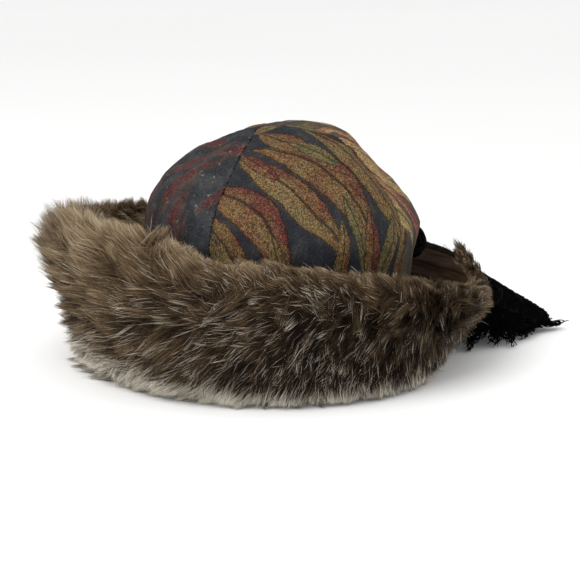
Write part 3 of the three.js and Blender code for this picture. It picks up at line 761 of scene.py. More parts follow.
def facing_section(azimuth, depth, count):
    """The crown side of the cuff in its own plane, from its foot to the rim, moved out by depth."""
    rim_r, rim_z = cuff_row(azimuth)[:2]
    rim = np.array([rim_r, rim_z])
    knee = FACING_FOOT + (rim - FACING_FOOT) * FACING_KNEE
    t = np.linspace(0, 1, count)[:, None]
    line = (1 - t) ** 2 * FACING_FOOT + 2 * t * (1 - t) * knee + t**2 * rim
    run = np.gradient(line, axis=0)
    run /= np.linalg.norm(run, axis=1)[:, None]
    return line + depth * np.stack([run[:, 1], -run[:, 0]], -1)


def body_section(azimuth):
    """The closed section of the skin and its down: a little inside the fur's face, and back by the facing."""
    index = int(round(azimuth * TURNS / 360)) % TURNS
    outer = SECTIONS[index][:: STEPS // 32]
    run = np.gradient(outer, axis=0)
    run /= np.linalg.norm(run, axis=1)[:, None]
    at_floor = np.clip(outer[0, 0] - FLOOR_CORE, *FLOOR_INSET)
    inset = np.interp(np.arange(len(outer)), [0, 6], [at_floor, DOWN_INSET])[:, None]
    inner = outer - inset * np.stack([run[:, 1], -run[:, 0]], -1)
    back = facing_section(azimuth, 2.6, 12)[::-1][3:]
    closed = np.vstack([inner, back, [back[-1][0], LOWEST]])
    run = np.concatenate([[0], np.cumsum(np.linalg.norm(np.diff(closed, axis=0), axis=1))])
    wanted = np.linspace(0, run[-1], BODY_POINTS)
    r, z = (np.interp(wanted, run, column) for column in closed.T)
    return np.stack([r, np.maximum(z, LOWEST)], -1)


fur_body = ring_of("fur_down_and_shade", TURNS, BODY_POINTS, body_section)

down, tree, shader = new_material("fur_down_and_shade")
place = add(tree, "TexCoord").outputs["Object"]
tufts = noise(tree, place, 160.0, 5.0, 0.7)
strands = noise(tree, place, 1400.0)
# Near black all round, even under the tan fur: the down's own colour and painted shade between the locks.
colour = ramp(tree, tufts, [(0.3, srgb(9, 6, 4)), (0.7, srgb(36, 27, 19))])
surface(tree, shader, colour, 0.9, 0.05, [(tufts, 0.004, 0.8), (strands, 0.001, 0.6)])
finish_piece(fur_body, down, "fur", "fur_cuff")

# %% [markdown]
# Long fur is thousands of tapering hairs that hang together: a few hairs join into a clump, clumps
# join into a pointed lock, and the locks lie in the direction in which the pelt was stroked. A
# particle system could do it, but here each hair is a narrow ribbon of three or five triangles,
# made in arrays, because that keeps full control of how the locks gather and of the number of faces.
# First comes the pelt's own map: the stroke of the hair and its tone, by azimuth and from the floor
# (0) to the lip (1). The tone holds some painted light on the back's lip. The stroke is an angle on
# the surface: 0 to the right, 90 up, 180 left, 270 down.

# %% Stroke and tone of the pelt
ROWS = np.array([0.0, 0.18, 0.4, 0.6, 0.78, 1.0])
STROKE = np.array([
    [266, 244, 230, 196, 122, 95], [276, 268, 252, 228, 126, 92], [288, 312, 330, 350, 35, 68],
    [284, 300, 312, 320, 330, 60], [270, 275, 290, 60, 88, 90], [262, 245, 225, 140, 96, 92],
    [258, 212, 182, 130, 100, 94], [254, 218, 192, 160, 122, 102]])
# At 180, 225 and 270 degrees the lip rows are set near 1: painted light on the lip's shaded inner side.
TONE_AND_PAINTED_LIGHT = np.array([
    [0.24, 0.06, 0.09, 0.24, 0.64, 0.74], [0.22, 0.04, 0.06, 0.16, 0.54, 0.68],
    [0.26, 0.08, 0.12, 0.30, 0.60, 0.70], [0.30, 0.12, 0.20, 0.34, 0.56, 0.60],
    [0.40, 0.20, 0.24, 0.50, 0.88, 1.0], [0.60, 0.34, 0.44, 0.70, 0.98, 1.0],
    [0.90, 0.50, 0.33, 0.70, 0.92, 0.96], [0.74, 0.32, 0.32, 0.58, 0.80, 0.84]])
# By azimuth: how tall the hair stands at the rim, how long it is, how far it flares under the rim,
# how far its tips lift off, how wild its locks lie, how deep the pale hem reaches, and how far the
# hem spreads over the floor.
STAND = np.array([0.55, 0.8, 0.35, 0.2, 0.8, 0.72, 0.92, 0.99])
LONG = np.array([0.85, 0.75, 0.75, 0.85, 1.0, 1.15, 1.35, 1.25])
FLARE = np.array([0.0, 0.0, 0.4, 0.0, 0.2, 0.3, 0.6, 0.4])
LOFT = np.array([1.25, 1.15, 1.0, 1.0, 1.0, 0.9, 0.8, 1.0])
WILD = np.array([0.42, 0.46, 0.46, 0.3, 0.26, 0.22, 0.2, 0.3])
PALE_HEM = np.array([0.22, 0.12, 0.15, 0.2, 0.3, 0.6, 2.9, 1.35])
PAST = np.array([3.0, 2.0, 2.0, 4.0, 5.0, 9.0, 13.0, 6.0])
STROKE_X, STROKE_Y = np.cos(np.radians(STROKE)), np.sin(np.radians(STROKE))


def pelt(table, azimuth, along):
    """A table's value at each azimuth and place on the section."""
    rows = around(table, azimuth)
    place = np.interp(along, ROWS, np.arange(len(ROWS)))
    i = np.minimum(place.astype(int), len(ROWS) - 2)
    t = place - i
    t = t * t * (3 - 2 * t)
    pick = np.arange(len(rows))
    return rows[pick, i] * (1 - t) + rows[pick, i + 1] * t


def on_fur(azimuth, along):
    """Points on the fur's outer face. Below 0 they go out over the floor, and past 1 on down the lip."""
    turn = np.mod(azimuth, 360) * TURNS / 360
    i = turn.astype(int) % TURNS
    t = (turn - turn.astype(int))[:, None]
    inside = np.clip(along, 0, 1) * STEPS
    j = np.minimum(inside.astype(int), STEPS - 1)
    u = (inside - j)[:, None]
    k = (i + 1) % TURNS
    first = SECTIONS[i, j] * (1 - u) + SECTIONS[i, j + 1] * u
    second = SECTIONS[k, j] * (1 - u) + SECTIONS[k, j + 1] * u
    section = first * (1 - t) + second * t
    length = LENGTHS[i]
    section[:, 0] += np.maximum(-along, 0) * length
    section += (np.maximum(along - 1, 0) * length)[:, None] * np.array([0.15, -0.99])
    return polar(azimuth, section[:, 0], section[:, 1])


def unit(vectors):
    return vectors / np.maximum(np.linalg.norm(vectors, axis=-1, keepdims=True), 1e-9)


def fur_axes(azimuth, along):
    """Directions on the fur: round the hat, up the section, and out of it."""
    inner = np.clip(along, 0.01, 0.99)
    across = unit(on_fur(azimuth + 0.5, inner) - on_fur(azimuth - 0.5, inner))
    up = unit(on_fur(azimuth, inner + 0.01) - on_fur(azimuth, inner - 0.01))
    return across, up, unit(np.cross(across, up))


print("stroke in front", round(float(pelt(STROKE_X, np.array([0.0]), np.array([0.4]))[0]), 2))


# %% [markdown]
# The tie's free end lies on the fur, so its cloth is laid out before the hair. It is a sheet between
# two smooth edges, given by rows from the band, over the rim and down to the floor.


# %% Tie end, its surface
TAIL_ROWS = np.array([
    [[58.2, 76.8, 52], [37.4, 88.8, 52]], [[62, 81, 72], [41, 93, 72]], [[70, 93, 82], [47, 106, 83]],
    [[80, 107, 80], [56, 122, 82]], [[92, 106, 71], [70, 139, 68]], [[106, 91, 60], [108, 150, 28]],
    [[127, 69, 53], [158, 144, 6]], [[147, 49, 50], [202, 97, 9]], [[147, 28, 38], [193, 78, 6]]])


def tail_surface(u, v):
    """Points of the tie end, u from its upper edge to its lower and v from the band to the hem."""
    upper, lower = (smooth_line(TAIL_ROWS[:, side], v) for side in (0, 1))
    return upper + (lower - upper) * u[:, None] + AXIS


def tail_out(u, v):
    """The direction that points out of the tie end."""
    along = tail_surface(u, np.minimum(v + 0.01, 1)) - tail_surface(u, np.maximum(v - 0.01, 0))
    across = tail_surface(u + 0.01, v) - tail_surface(u - 0.01, v)
    return unit(np.cross(along, across))


TAIL_U, TAIL_V = (grid.ravel() for grid in np.meshgrid(np.linspace(0, 1, 25), np.linspace(0, 1, 70)))
TAIL_NET = tail_surface(TAIL_U, TAIL_V)
print("tie end", TAIL_NET.min(0).round(), "to", TAIL_NET.max(0).round())

# %% [markdown]
# Now the hair. Each lock, clump and hair has a path of four points that follows the section and
# lifts off it toward the tip. A clump's tips are drawn to its lock, and a hair's tip to its clump.

# %% Hair paths
HAIR = {"length": 31, "root": -4.5, "lift": 10.5, "straight": 0.42}
LOCKS = {"round": 94, "up": 15}
CLUMPS_PER_LOCK, HAIRS_PER_CLUMP, GUARDS_PER_LOCK = 7, 20, 9
SPREADS = {"clump": 5.0, "hair": 1.7, "guard": 6.0}
HEM = {"jag": 6.5, "size": 12}
PLACES = np.array([0, 0.36, 0.7, 1.0])
# Round figures for the whole cuff: one degree round it, its section's length and its radius.
MM_PER_DEGREE, MM_UP, MEAN_RADIUS = 2.3, 160, 130.0
# The rim's place on the section.
AT_RIM = 0.72
draw = np.random.default_rng(11)


def hair_paths(azimuth, along, length, turn, lift):
    """Four points for each hair, from its root over the section in the stroke's direction."""
    x, y = pelt(STROKE_X, azimuth, along), pelt(STROKE_Y, azimuth, along)
    strength = np.clip(np.hypot(x, y), 0.25, 1)
    heading = np.arctan2(y, x) + turn
    x, y = np.cos(heading), np.sin(heading)
    root = on_fur(azimuth, along)
    across, up, out = fur_axes(azimuth, along)
    reach = length * (0.72 + 0.28 * strength)
    tangent = across * x[:, None] + up * y[:, None]
    radius = np.linalg.norm((root - AXIS)[:, :2], axis=1)
    section_length = around(LENGTHS, azimuth)
    at_rim = np.exp(-(((along - AT_RIM) / 0.14) ** 2))
    stand = around(STAND, azimuth)
    straight = (HAIR["straight"] + 0.35 * at_rim * stand) * np.interp(along, [0, 0.16], [0, 1])
    straight *= np.interp(along, [0.45, 0.65], [1, 0]) * (1 - stand) + stand
    along_hem = np.stack([azimuth * MM_PER_DEGREE, 0 * azimuth, 0 * azimuth], -1)
    past = around(PAST, azimuth) + HEM["jag"] * soft_noise(along_hem, HEM["size"], 9)
    room = (np.maximum(along, 0) * section_length + past) / np.maximum(-y, 0.2)
    reach = np.where(y < -0.2, np.minimum(reach, room), reach)
    paths = []
    for s in PLACES:
        walk = on_fur(azimuth + np.degrees(reach * s * x / radius), along + reach * s * y / section_length)
        line = root + tangent * (reach * s)[:, None]
        height = HAIR["root"] + (lift - HAIR["root"]) * s**0.85 * (1.35 - 0.35 * strength)
        paths.append(walk + (line - walk) * (straight * s)[:, None] + out * height[:, None])
    return np.stack(paths, 1)


def drawn_to(paths, guides, share, keep):
    """Pulls the paths toward their guides, more toward the tips, and keeps part of their distance."""
    gap = (paths[:, :1] - guides[:, :1]) * keep
    pull = share * (PLACES**1.2)[None, :, None]
    return paths + (guides + gap - paths) * pull


def scattered(parent_azimuth, parent_along, count, reach):
    """Roots round their parents' roots, as azimuths and places on the section."""
    azimuth, along = np.repeat(parent_azimuth, count), np.repeat(parent_along, count)
    offset = draw.normal(0, reach, (len(azimuth), 2))
    return azimuth + np.degrees(offset[:, 0] / MEAN_RADIUS), along + offset[:, 1] / around(LENGTHS, azimuth)


def sized(azimuth, along, low, high):
    """Hair lengths: shorter at the lip and at the hem."""
    ends = np.interp(along, [0, 0.1, 0.3, 0.75, 0.9, 1.0], [0.6, 0.8, 1, 1, 0.85, 0.65])
    ends = ends * (1 + 0.3 * around(PALE_HEM, azimuth) * np.interp(along, [0.05, 0.15], [1, 0]))
    stand = around(STAND, azimuth)
    rim = np.interp(along, [0.5, 0.7], [1, 0]) * (1 - stand) + stand
    long = around(LONG, azimuth) * (0.45 + 0.55 * rim)
    return HAIR["length"] * long * ends * draw.uniform(low, high, len(azimuth))


def grown(azimuth, along, low, high, wobble):
    """Paths of hairs whose lengths lie between these shares, and whose headings differ by the wobble."""
    count = len(azimuth)
    size = 0.4 + 0.6 * around(CUFF[:, 6], azimuth)
    upright = around(STAND, azimuth) ** (along > 0.6)
    wobble = wobble * around(WILD, azimuth)
    lift = HAIR["lift"] * around(LOFT, azimuth) * draw.uniform(0.25, 1.4, count) * size
    lift *= np.interp(along, [0, 0.14], [0.35, 1]) * (0.4 + 0.6 * upright)
    flare = around(FLARE, azimuth)
    lift *= 1 + flare * (1.4 * np.exp(-(((along - 0.62) / 0.13) ** 2)) - 0.5 * (along < 0.45))
    length = sized(azimuth, along, low, high)
    return hair_paths(azimuth, along, length, draw.normal(0, wobble, count), lift)


print("hair of about", HAIR["length"], "mm")

# %% [markdown]
# The locks root on an uneven grid. Clumps are scattered round each lock, hairs round each clump, and
# longer, stiffer guard hairs round each lock. At the rim and the hem the clumps gather more tightly.

# %% Locks, clumps and hairs
columns, rows = np.meshgrid(np.arange(LOCKS["round"]), np.arange(LOCKS["up"]))
lock_azimuth = (columns.ravel() + draw.uniform(0, 1, columns.size)) * 360 / LOCKS["round"]
lock_along = (rows.ravel() + draw.uniform(0, 1, rows.size)) / LOCKS["up"]
lock_paths = grown(lock_azimuth, lock_along, 0.75, 1.4, 1.0)
clump_azimuth, clump_along = scattered(lock_azimuth, lock_along, CLUMPS_PER_LOCK, SPREADS["clump"])
clump_paths = grown(clump_azimuth, clump_along, 0.75, 1.2, 0.7)
at_edge = ((lock_along > 0.62) | (lock_along < 0.12)).astype(float)
at_edge = np.repeat(at_edge, CLUMPS_PER_LOCK)[:, None, None]
guides = np.repeat(lock_paths, CLUMPS_PER_LOCK, 0)
clump_paths = drawn_to(clump_paths, guides, 0.6 + 0.27 * at_edge, 0.42 - 0.2 * at_edge)
hair_azimuth, hair_along = scattered(clump_azimuth, clump_along, HAIRS_PER_CLUMP, SPREADS["hair"])
paths = grown(hair_azimuth, hair_along, 0.7, 1.15, 0.5)
paths = drawn_to(paths, np.repeat(clump_paths, HAIRS_PER_CLUMP, 0), 0.72, 0.3)
guard_azimuth, guard_along = scattered(lock_azimuth, lock_along, GUARDS_PER_LOCK, SPREADS["guard"])
guard_paths = grown(guard_azimuth, guard_along, 1.0, 1.4, 0.9)
print(len(paths), "hairs and", len(guard_paths), "guard hairs")

# %% [markdown]
# The pelt's tone changes from tan on the left to nearly black on the right, paler at the hem. On the
# back's lip it is raised further: painted light on fur that lies in shade. Single locks differ a
# little, and a few hairs in the dark part have silver tips. The tone picks the row of the colour chart.

# %% Kinds of hair
CHART_ROWS = 32
GREY_ROW, SILVER_ROW = 29, 31
TONE_ROWS = 27
SILVER_CLUMPS, GUARD_SILVER = 0.16, 0.5
HAIR_WIDTH, GUARD_WIDTH = (0.34, 0.66), (0.3, 0.46)


def tone_with_painted_light(azimuth, along):
    """The pelt's tone at each place, with soft patches and painted light on the back's lip, from 0 for dark
    to 1 for pale.
    """
    place = np.stack([azimuth * MM_PER_DEGREE, along * MM_UP, 0 * along], -1)
    tone = pelt(TONE_AND_PAINTED_LIGHT, azimuth, np.clip(along, 0, 1))
    tone += 0.12 * soft_noise(place, 75, 21)
    return tone + 0.07 * soft_noise(place, 24, 22)


def chart_rows(tone, azimuth, tip_height, silver_share):
    """The chart's row for each hair: by its tone, or silver, or grey where its tip is near the hem."""
    count = len(tone)
    row = np.clip(np.round(tone * TONE_ROWS), 0, TONE_ROWS).astype(int)
    silver = draw.uniform(size=count) < silver_share
    pale = around(PALE_HEM, azimuth)
    deep = tip_height / (4 + 14 * pale)
    half_way = 0.5 + 0.2 * pale.mean()
    grey = draw.uniform(size=count) < np.interp(deep, [0.2, 0.6, 1.1], [0.9, half_way, 0.0])
    row[silver] = SILVER_ROW
    row[grey] = GREY_ROW
    return row


lock_tone = tone_with_painted_light(lock_azimuth, lock_along) + draw.normal(0, 0.1, len(lock_azimuth))
clump_tone = 0.5 * np.repeat(lock_tone, CLUMPS_PER_LOCK) + 0.5 * tone_with_painted_light(clump_azimuth, clump_along)
clump_tone += draw.normal(0, 0.09, len(clump_tone))
hair_tone = np.repeat(clump_tone, HAIRS_PER_CLUMP) + draw.normal(0, 0.13, len(paths))
silver_clump = np.repeat(draw.uniform(size=len(clump_tone)) < SILVER_CLUMPS, HAIRS_PER_CLUMP)
silver = np.where(silver_clump, 0.5, 0.02) * np.interp(hair_tone, [0.2, 0.6], [1, 0.2])
guard_tone = tone_with_painted_light(guard_azimuth, guard_along)
guard_tone += 0.14 * np.interp(guard_tone, [0.4, 0.7], [0, 1]) + draw.normal(0, 0.08, len(guard_tone))
guard_silver = GUARD_SILVER * np.interp(guard_tone, [0.2, 0.7], [1, 0.4])
all_rows = np.concatenate([
    chart_rows(hair_tone, hair_azimuth, paths[:, 3, 2], silver),
    chart_rows(guard_tone, guard_azimuth, guard_paths[:, 3, 2], guard_silver)])
all_paths = np.concatenate([paths, guard_paths])
all_azimuth = np.concatenate([hair_azimuth, guard_azimuth])
all_along = np.concatenate([hair_along, guard_along])
width = np.concatenate([draw.uniform(*HAIR_WIDTH, len(paths)), draw.uniform(*GUARD_WIDTH, len(guard_paths))])
width[all_rows == SILVER_ROW] *= 0.8
whole_turn = np.mod(all_azimuth, 360)
print("silver", int((all_rows == SILVER_ROW).sum()), "grey", int((all_rows == GREY_ROW).sum()))

# %% [markdown]
# Hairs are left out where they would root under the tie end or cross it, and on the rim that it
# bends over. So are a few that the steep end of the section has stretched.

# %% Hair clear of the tie end
LONGEST_STEP = 30
# How far up the section hair grows, by azimuth in degrees.
BARE = ([105, 112, 150, 166], [1.05, 0.82, 0.82, 1.05])
TAIL_REACH = {"root": 10, "middle": 5}
net = KDTree(len(TAIL_NET))
for index, point in enumerate(TAIL_NET):
    net.insert(Vector(point), index)
net.balance()
keep = (all_along > -0.02) & (all_along < 1.02) & (all_along < np.interp(whole_turn, *BARE))
keep &= np.linalg.norm(np.diff(all_paths, axis=1), axis=2).max(1) < LONGEST_STEP
for index in np.nonzero(keep & (whole_turn > 80) & (whole_turn < 170))[0]:
    for step, reach in ((0, TAIL_REACH["root"]), (2, TAIL_REACH["middle"])):
        _, nearest, gap = net.find(Vector(all_paths[index, step]))
        inside = 0.03 < TAIL_U[nearest] < 0.97 and TAIL_V[nearest] < 0.97
        if inside and gap < reach:
            keep[index] = False
print(int(keep.sum()), "hairs kept")

# %% [markdown]
# At an edge the locks end in pointed tufts. Each tip is drawn toward the middle of its tuft, and the
# hairs there are the longest. The hem's tufts stand out over the floor, the rim's stand up, and those
# on the left side follow one another by height.

# %% Tufts
# For each edge: how far apart its tufts are, how far tips are drawn in, and how much longer the middle is.
TUFTS = {
    "hem": {"gap": 8.5, "draw": 0.78, "out": 14.0, "up": 0.0},
    "rim": {"gap": 6.0, "draw": 0.55, "out": 2.5, "up": 4.0},
    "side": {"gap": 14.0, "draw": 0.62, "out": 5.0, "up": 0.0},
}
# The single tuft where the rim's corner is pulled up.
TUFT = {"azimuth": 110, "spread": 4.5, "rise": 4.5}


def tufted(paths, place, share, kind, by_height=False):
    """Draws the tips to the middle of their tuft, and makes the hairs in its middle the longest."""
    facts = TUFTS[kind]
    flat = paths[:, :, :2] - AXIS[:2]
    off = (place / facts["gap"]) % 1 - 0.5
    grow = share[:, None] * PLACES**1.4
    aside = -facts["draw"] * off[:, None] * facts["gap"] * grow
    longer = (1 - 4 * np.abs(off))[:, None] * grow
    azimuth = azimuth_of(flat) + (0 if by_height else 1) * aside
    radius = np.linalg.norm(flat, axis=2) + facts["out"] * longer
    height = paths[:, :, 2] + facts["up"] * longer + (aside if by_height else 0)
    return polar(azimuth, radius, height)


tip_azimuth = azimuth_of(all_paths[:, 3] - AXIS) % 360
turn = np.radians(tip_azimuth)
on_ring = MEAN_RADIUS * np.stack([np.sin(turn), np.cos(turn), 0 * turn], -1)
at_hem = np.interp(all_along, [0.1, 0.24], [1, 0])
all_paths = tufted(all_paths, tip_azimuth + 3.2 * soft_noise(on_ring, 55, 71), at_hem, "hem")
at_top = np.interp(tip_azimuth, [205, 235, 300, 325], [0, 1, 1, 0])
at_top = at_top * np.exp(-(((all_along - AT_RIM) / 0.16) ** 2))
all_paths = tufted(all_paths, tip_azimuth + 3.0 * soft_noise(on_ring, 45, 72), at_top, "rim")
at_side = np.interp(tip_azimuth, [240, 255, 285, 300], [0, 1, 1, 0])
at_side = at_side * np.interp(all_along, [0.1, 0.24, 0.62, 0.74], [0, 1, 1, 0])
by_height = all_paths[:, 3, 2] + 5 * soft_noise(on_ring, 70, 73)
all_paths = tufted(all_paths, by_height, at_side, "side", by_height=True)
near_tuft = np.exp(-(((whole_turn - TUFT["azimuth"]) / TUFT["spread"]) ** 2)) * (all_along > 0.66)
all_paths[:, :, 2] += TUFT["rise"] * near_tuft[:, None] * PLACES
print("tufts at", list(TUFTS))

# %% [markdown]
# Last the hair is moved clear of its neighbours: out of the crown, below the rim where the tie end
# lies over it, and up from the floor, on which the lowest tips rest.

# %% Hair clear of crown, rim and floor
CROWN_CLEAR, CROWN_TOP = 98.5, 118
UNDER_RIM = 2
RESTING = 0.5
flat = all_paths[:, :, :2] - AXIS[:2]
radius = np.linalg.norm(flat, axis=2)
inside = (all_paths[:, :, 2] < CROWN_TOP) & (radius < CROWN_CLEAR)
push = np.where(inside, CROWN_CLEAR / np.maximum(radius, 1), 1.0)
all_paths[:, :, :2] = AXIS[:2] + flat * push[:, :, None]
rim_height = np.array([cuff_row(azimuth)[1] for azimuth in range(361)])
ceiling = np.interp(whole_turn, np.arange(361), rim_height) - UNDER_RIM
behind = (whole_turn > 114) & (whole_turn < 160)
low = np.minimum(all_paths[:, :, 2], ceiling[:, None])
all_paths[:, :, 2] = np.where(behind[:, None], low, all_paths[:, :, 2])
resting = RESTING + draw.uniform(0, 2.0, len(all_paths))[:, None]
all_paths[:, :, 2] = np.maximum(all_paths[:, :, 2], resting)
all_paths[:, 0, 2] = np.maximum(all_paths[:, 0, 2], RESTING)
print("lowest hair", round(all_paths[:, :, 2].min(), 2), "mm")

# %% [markdown]
# A hair's colour is read from the chart through its own flat map, so that a hair has the right
# colours from root to tip wherever it stands: a dark root, a middle tone and a lighter tip. The
# dark root is partly painted shade, deep in the pelt between the locks.

# %% Fur material
fur, tree, shader = new_material("fur_hair")
chart = add(tree, "UVMap", uv_map="OFBake").outputs["UV"]
chart = add(tree, "SeparateXYZ", {0: chart}).outputs
# From dark to pale by tone, then grey as an even step, then silver.
CHART_PLACES = [0.0, 0.3, 0.6, (TONE_ROWS + 0.5) / CHART_ROWS, 0.875, 0.93, 0.96]
CHART = {
    # Dark roots: the hair's own colour, and painted shade deep in the pelt where the locks part.
    "root": [(7, 4, 3), (16, 11, 7), (42, 32, 22), (98, 82, 61), (80, 71, 58), (80, 71, 58), (14, 10, 8)],
    "middle": [(12, 8, 5), (32, 22, 14), (80, 63, 44), (138, 119, 92), (146, 136, 119), (146, 136, 119),
               (40, 31, 24)],
    "tip": [(26, 18, 11), (78, 62, 44), (136, 114, 86), (192, 174, 144), (226, 219, 205),
            (226, 219, 205), (240, 227, 208)],
}
low, high, tip = (
    ramp(tree, chart["Y"], [(place, srgb(*tone)) for place, tone in zip(CHART_PLACES, tones)])
    for tones in CHART.values())
colour = blend_colours(tree, spread(tree, chart["X"], 0.08, 0.6), low, high)
colour = blend_colours(tree, spread(tree, chart["X"], 0.55, 0.98), colour, tip)
surface(tree, shader, colour, spread(tree, chart["X"], 0.0, 1.0, 0.72, 0.5), 0.06)
print("fur material ready")


# %% [markdown]
# A ribbon is two points at each step and one at the tip. Its faces look out of the pelt, and its
# points take the pelt's own direction as their normal, so that thin ribbons shade as one soft coat.


# %% Ribbons of hair
UNDER_SHARE = 0.66


def hair_piece(name, paths, width, rows, out):
    """One mesh of ribbons along these paths, each on its row of the chart."""
    count, steps = paths.shape[0], paths.shape[1] - 1
    places = np.linspace(0, 1, steps + 1)
    taper = np.interp(places[:-1], [0, 0.35, 0.7], [0.8, 1.0, 0.72])
    ahead = unit(paths[:, -1] - paths[:, 0])
    roll = draw.uniform(-0.9, 0.9, count)[:, None]
    side = unit(np.cross(out, ahead))
    side = unit(side * np.cos(roll) + out * np.sin(roll))
    half = 0.5 * width[:, None] * taper[None]
    left = paths[:, :-1] - side[:, None] * half[..., None]
    right = paths[:, :-1] + side[:, None] * half[..., None]
    size = 2 * steps + 1
    points = np.concatenate([np.stack([left, right], 2).reshape(count, 2 * steps, 3), paths[:, -1:]], 1)
    pattern = [[2 * k + a, 2 * k + b, 2 * k + c]
               for k in range(steps - 1) for a, b, c in ((0, 1, 3), (0, 3, 2))]
    pattern = np.array(pattern + [[2 * steps - 2, 2 * steps - 1, 2 * steps]])
    corner = (size * np.arange(count)[:, None, None] + pattern[None]).reshape(-1)
    mesh = bpy.data.meshes.new(name)
    mesh.vertices.add(size * count)
    mesh.vertices.foreach_set("co", (points * MM).astype(np.float32).ravel())
    mesh.loops.add(len(corner))
    mesh.loops.foreach_set("vertex_index", corner.astype(np.int32))
    mesh.polygons.add(len(corner) // 3)
    mesh.polygons.foreach_set("loop_start", np.arange(0, len(corner), 3, dtype=np.int32))
    mesh.polygons.foreach_set("use_smooth", np.ones(len(corner) // 3, bool))
    along = np.append(np.repeat(places[:-1], 2), 1.0) * 0.96 + 0.02
    up = np.array([0.36, 0.64] * steps + [0.5])
    chart = np.stack([np.broadcast_to(along, (count, size)), (rows[:, None] + up) / CHART_ROWS], -1)
    layer = mesh.uv_layers.new(name="OFBake")
    layer.data.foreach_set("uv", chart.reshape(-1, 2)[corner].astype(np.float32).ravel())
    mesh.update()
    mesh.validate()
    face = np.cross(points[:, 1] - points[:, 0], points[:, 3] - points[:, 0])
    if (np.einsum("ij,ij->i", face, out) < 0).mean() > 0.5:
        mesh.flip_normals()
    lean = np.array([-0.35, 0.35] * steps + [0])
    soft = unit(out[:, None] * 0.8 + side[:, None] * lean[None, :, None])
    mesh.normals_split_custom_set_from_vertices(soft.reshape(-1, 3).astype(np.float32))
    obj = bpy.data.objects.new(name, mesh)
    scene.collection.objects.link(obj)
    finish_piece(obj, fur, "fur")


under = draw.uniform(size=len(all_paths)) < UNDER_SHARE
under[len(paths):] = False
short_paths = np.stack([all_paths[:, 0], (all_paths[:, 1] + all_paths[:, 2]) / 2, all_paths[:, 3]], 1)
SECTORS = {"front": (-30, 30), "front_right": (30, 90), "back_right": (90, 150),
           "back": (150, 210), "back_left": (210, 270), "front_left": (270, 330)}
LAYERS = {"fur_": (~under, all_paths), "underfur_": (under, short_paths)}
for name, (start, end) in SECTORS.items():
    sector = keep & (np.mod(all_azimuth - start, 360) < end - start)
    for layer, (members, lines) in LAYERS.items():
        some = sector & members
        out = fur_axes(all_azimuth[some], all_along[some])[2]
        hair_piece(layer + name, lines[some], width[some], all_rows[some], out)

# %% [markdown]
# The inside of the cuff is faced with brown satin, cut on the curve and eased in, so it lies in soft
# wrinkles that run round the hat. The solid's merged copy is subdivided and rippled.

# %% Satin facing
WRINKLE = {"height": 0.8, "apart": 11}
facing = merged_copy("cuff_facing", "satin_facing")
modify(facing, "SUBSURF", levels=2, render_levels=2)
points, normals = points_of(facing), normals_of(facing)
local = points - AXIS
azimuth = azimuth_of(local)
height = local[:, 2] + 3.5 * np.sin(np.radians(azimuth * 3)) + 2 * soft_noise(points, 60, 31)
wrinkle = WRINKLE["height"] * np.sin(2 * math.pi * height / WRINKLE["apart"])
wrinkle = wrinkle * (0.4 + 0.6 * np.abs(soft_noise(points, 50, 32)))
inner_side = np.sign(np.einsum("ij,ij->i", normals[:, :2], -local[:, :2]))
put(facing, points + normals * (wrinkle * inner_side)[:, None])
smooth_look(facing, 180)

satin, tree, shader = new_material("satin")
place = add(tree, "TexCoord").outputs["Object"]
shade = noise(tree, place, 26.0, 3.0)
stretched = add(tree, "Mapping", {"Vector": place, "Scale": (160.0, 160.0, 900.0)}).outputs[0]
thread = noise(tree, stretched, 4.0, 3.0)
colour = ramp(tree, shade, [(0.3, srgb(33, 20, 12)), (0.7, srgb(56, 37, 24))])
colour = blend_colours(tree, maths(tree, "MULTIPLY", thread, 0.25), colour, srgb(66, 46, 30))
flattened = add(tree, "Mapping", {"Vector": place, "Scale": (12.0, 12.0, 90.0)}).outputs[0]
folds = noise(tree, flattened, 1.6)
roughness = spread(tree, thread, 0.3, 0.7, 0.6, 0.75)
surface(tree, shader, colour, roughness, 0.06, [(folds, 0.01, 0.6), (thread, 0.0003, 0.5)])
finish_piece(facing, satin, "satin", "cuff_facing")

# %% [markdown]
# The tie is thin black cloth with a plain open weave. Its weave shows only as a fine grain in the
# highlights. The colour hardly changes: the raised threads get a faint painted highlight, and the
# bump and roughness do the rest.


# %% Black cloth
def black_cloth(name, scale, light):
    """Black cloth with a weave of this scale, whose raised threads have this much painted highlight."""
    material, tree, shader = new_material(name)
    place = add(tree, "TexCoord").outputs["Object"]
    x, y, z = waves(tree, place, scale, 1.2, 2.0, "XYZ")
    weave = maths(tree, "MULTIPLY", maths(tree, "ADD", maths(tree, "ADD", x, y), z), 0.33)
    fuzz = noise(tree, place, 900.0, 4.0)
    mixed = maths(tree, "MULTIPLY", weave, fuzz)
    # The raised threads are paler than the rest: a painted highlight on the weave.
    dark, pale = srgb(1, 1, 1), srgb(light, light, light)
    colour = ramp(tree, mixed, [(0.15, dark), (0.6, pale)])
    roughness = spread(tree, fuzz, 0.3, 0.7, 0.75, 0.95)
    surface(tree, shader, colour, roughness, 0.01, [(weave, 0.0006, 0.6), (fuzz, 0.0005, 0.5)])
    return material


crepe = black_cloth("black_crepe", 260.0, 40)
yarn = black_cloth("black_yarn", 500.0, 30)
print("black cloth ready")

# %% [markdown]
# The band is the tie drawn round the crown under its bulge and gathered, so its face is soft pleats
# that run at a slant. It is a ring again, on the band's own sections.

# %% Tie band
BAND = {"inner": 91.7, "low": 34, "high": 77, "dip": 22, "thick": 3.0, "turns": 220, "points": 28}


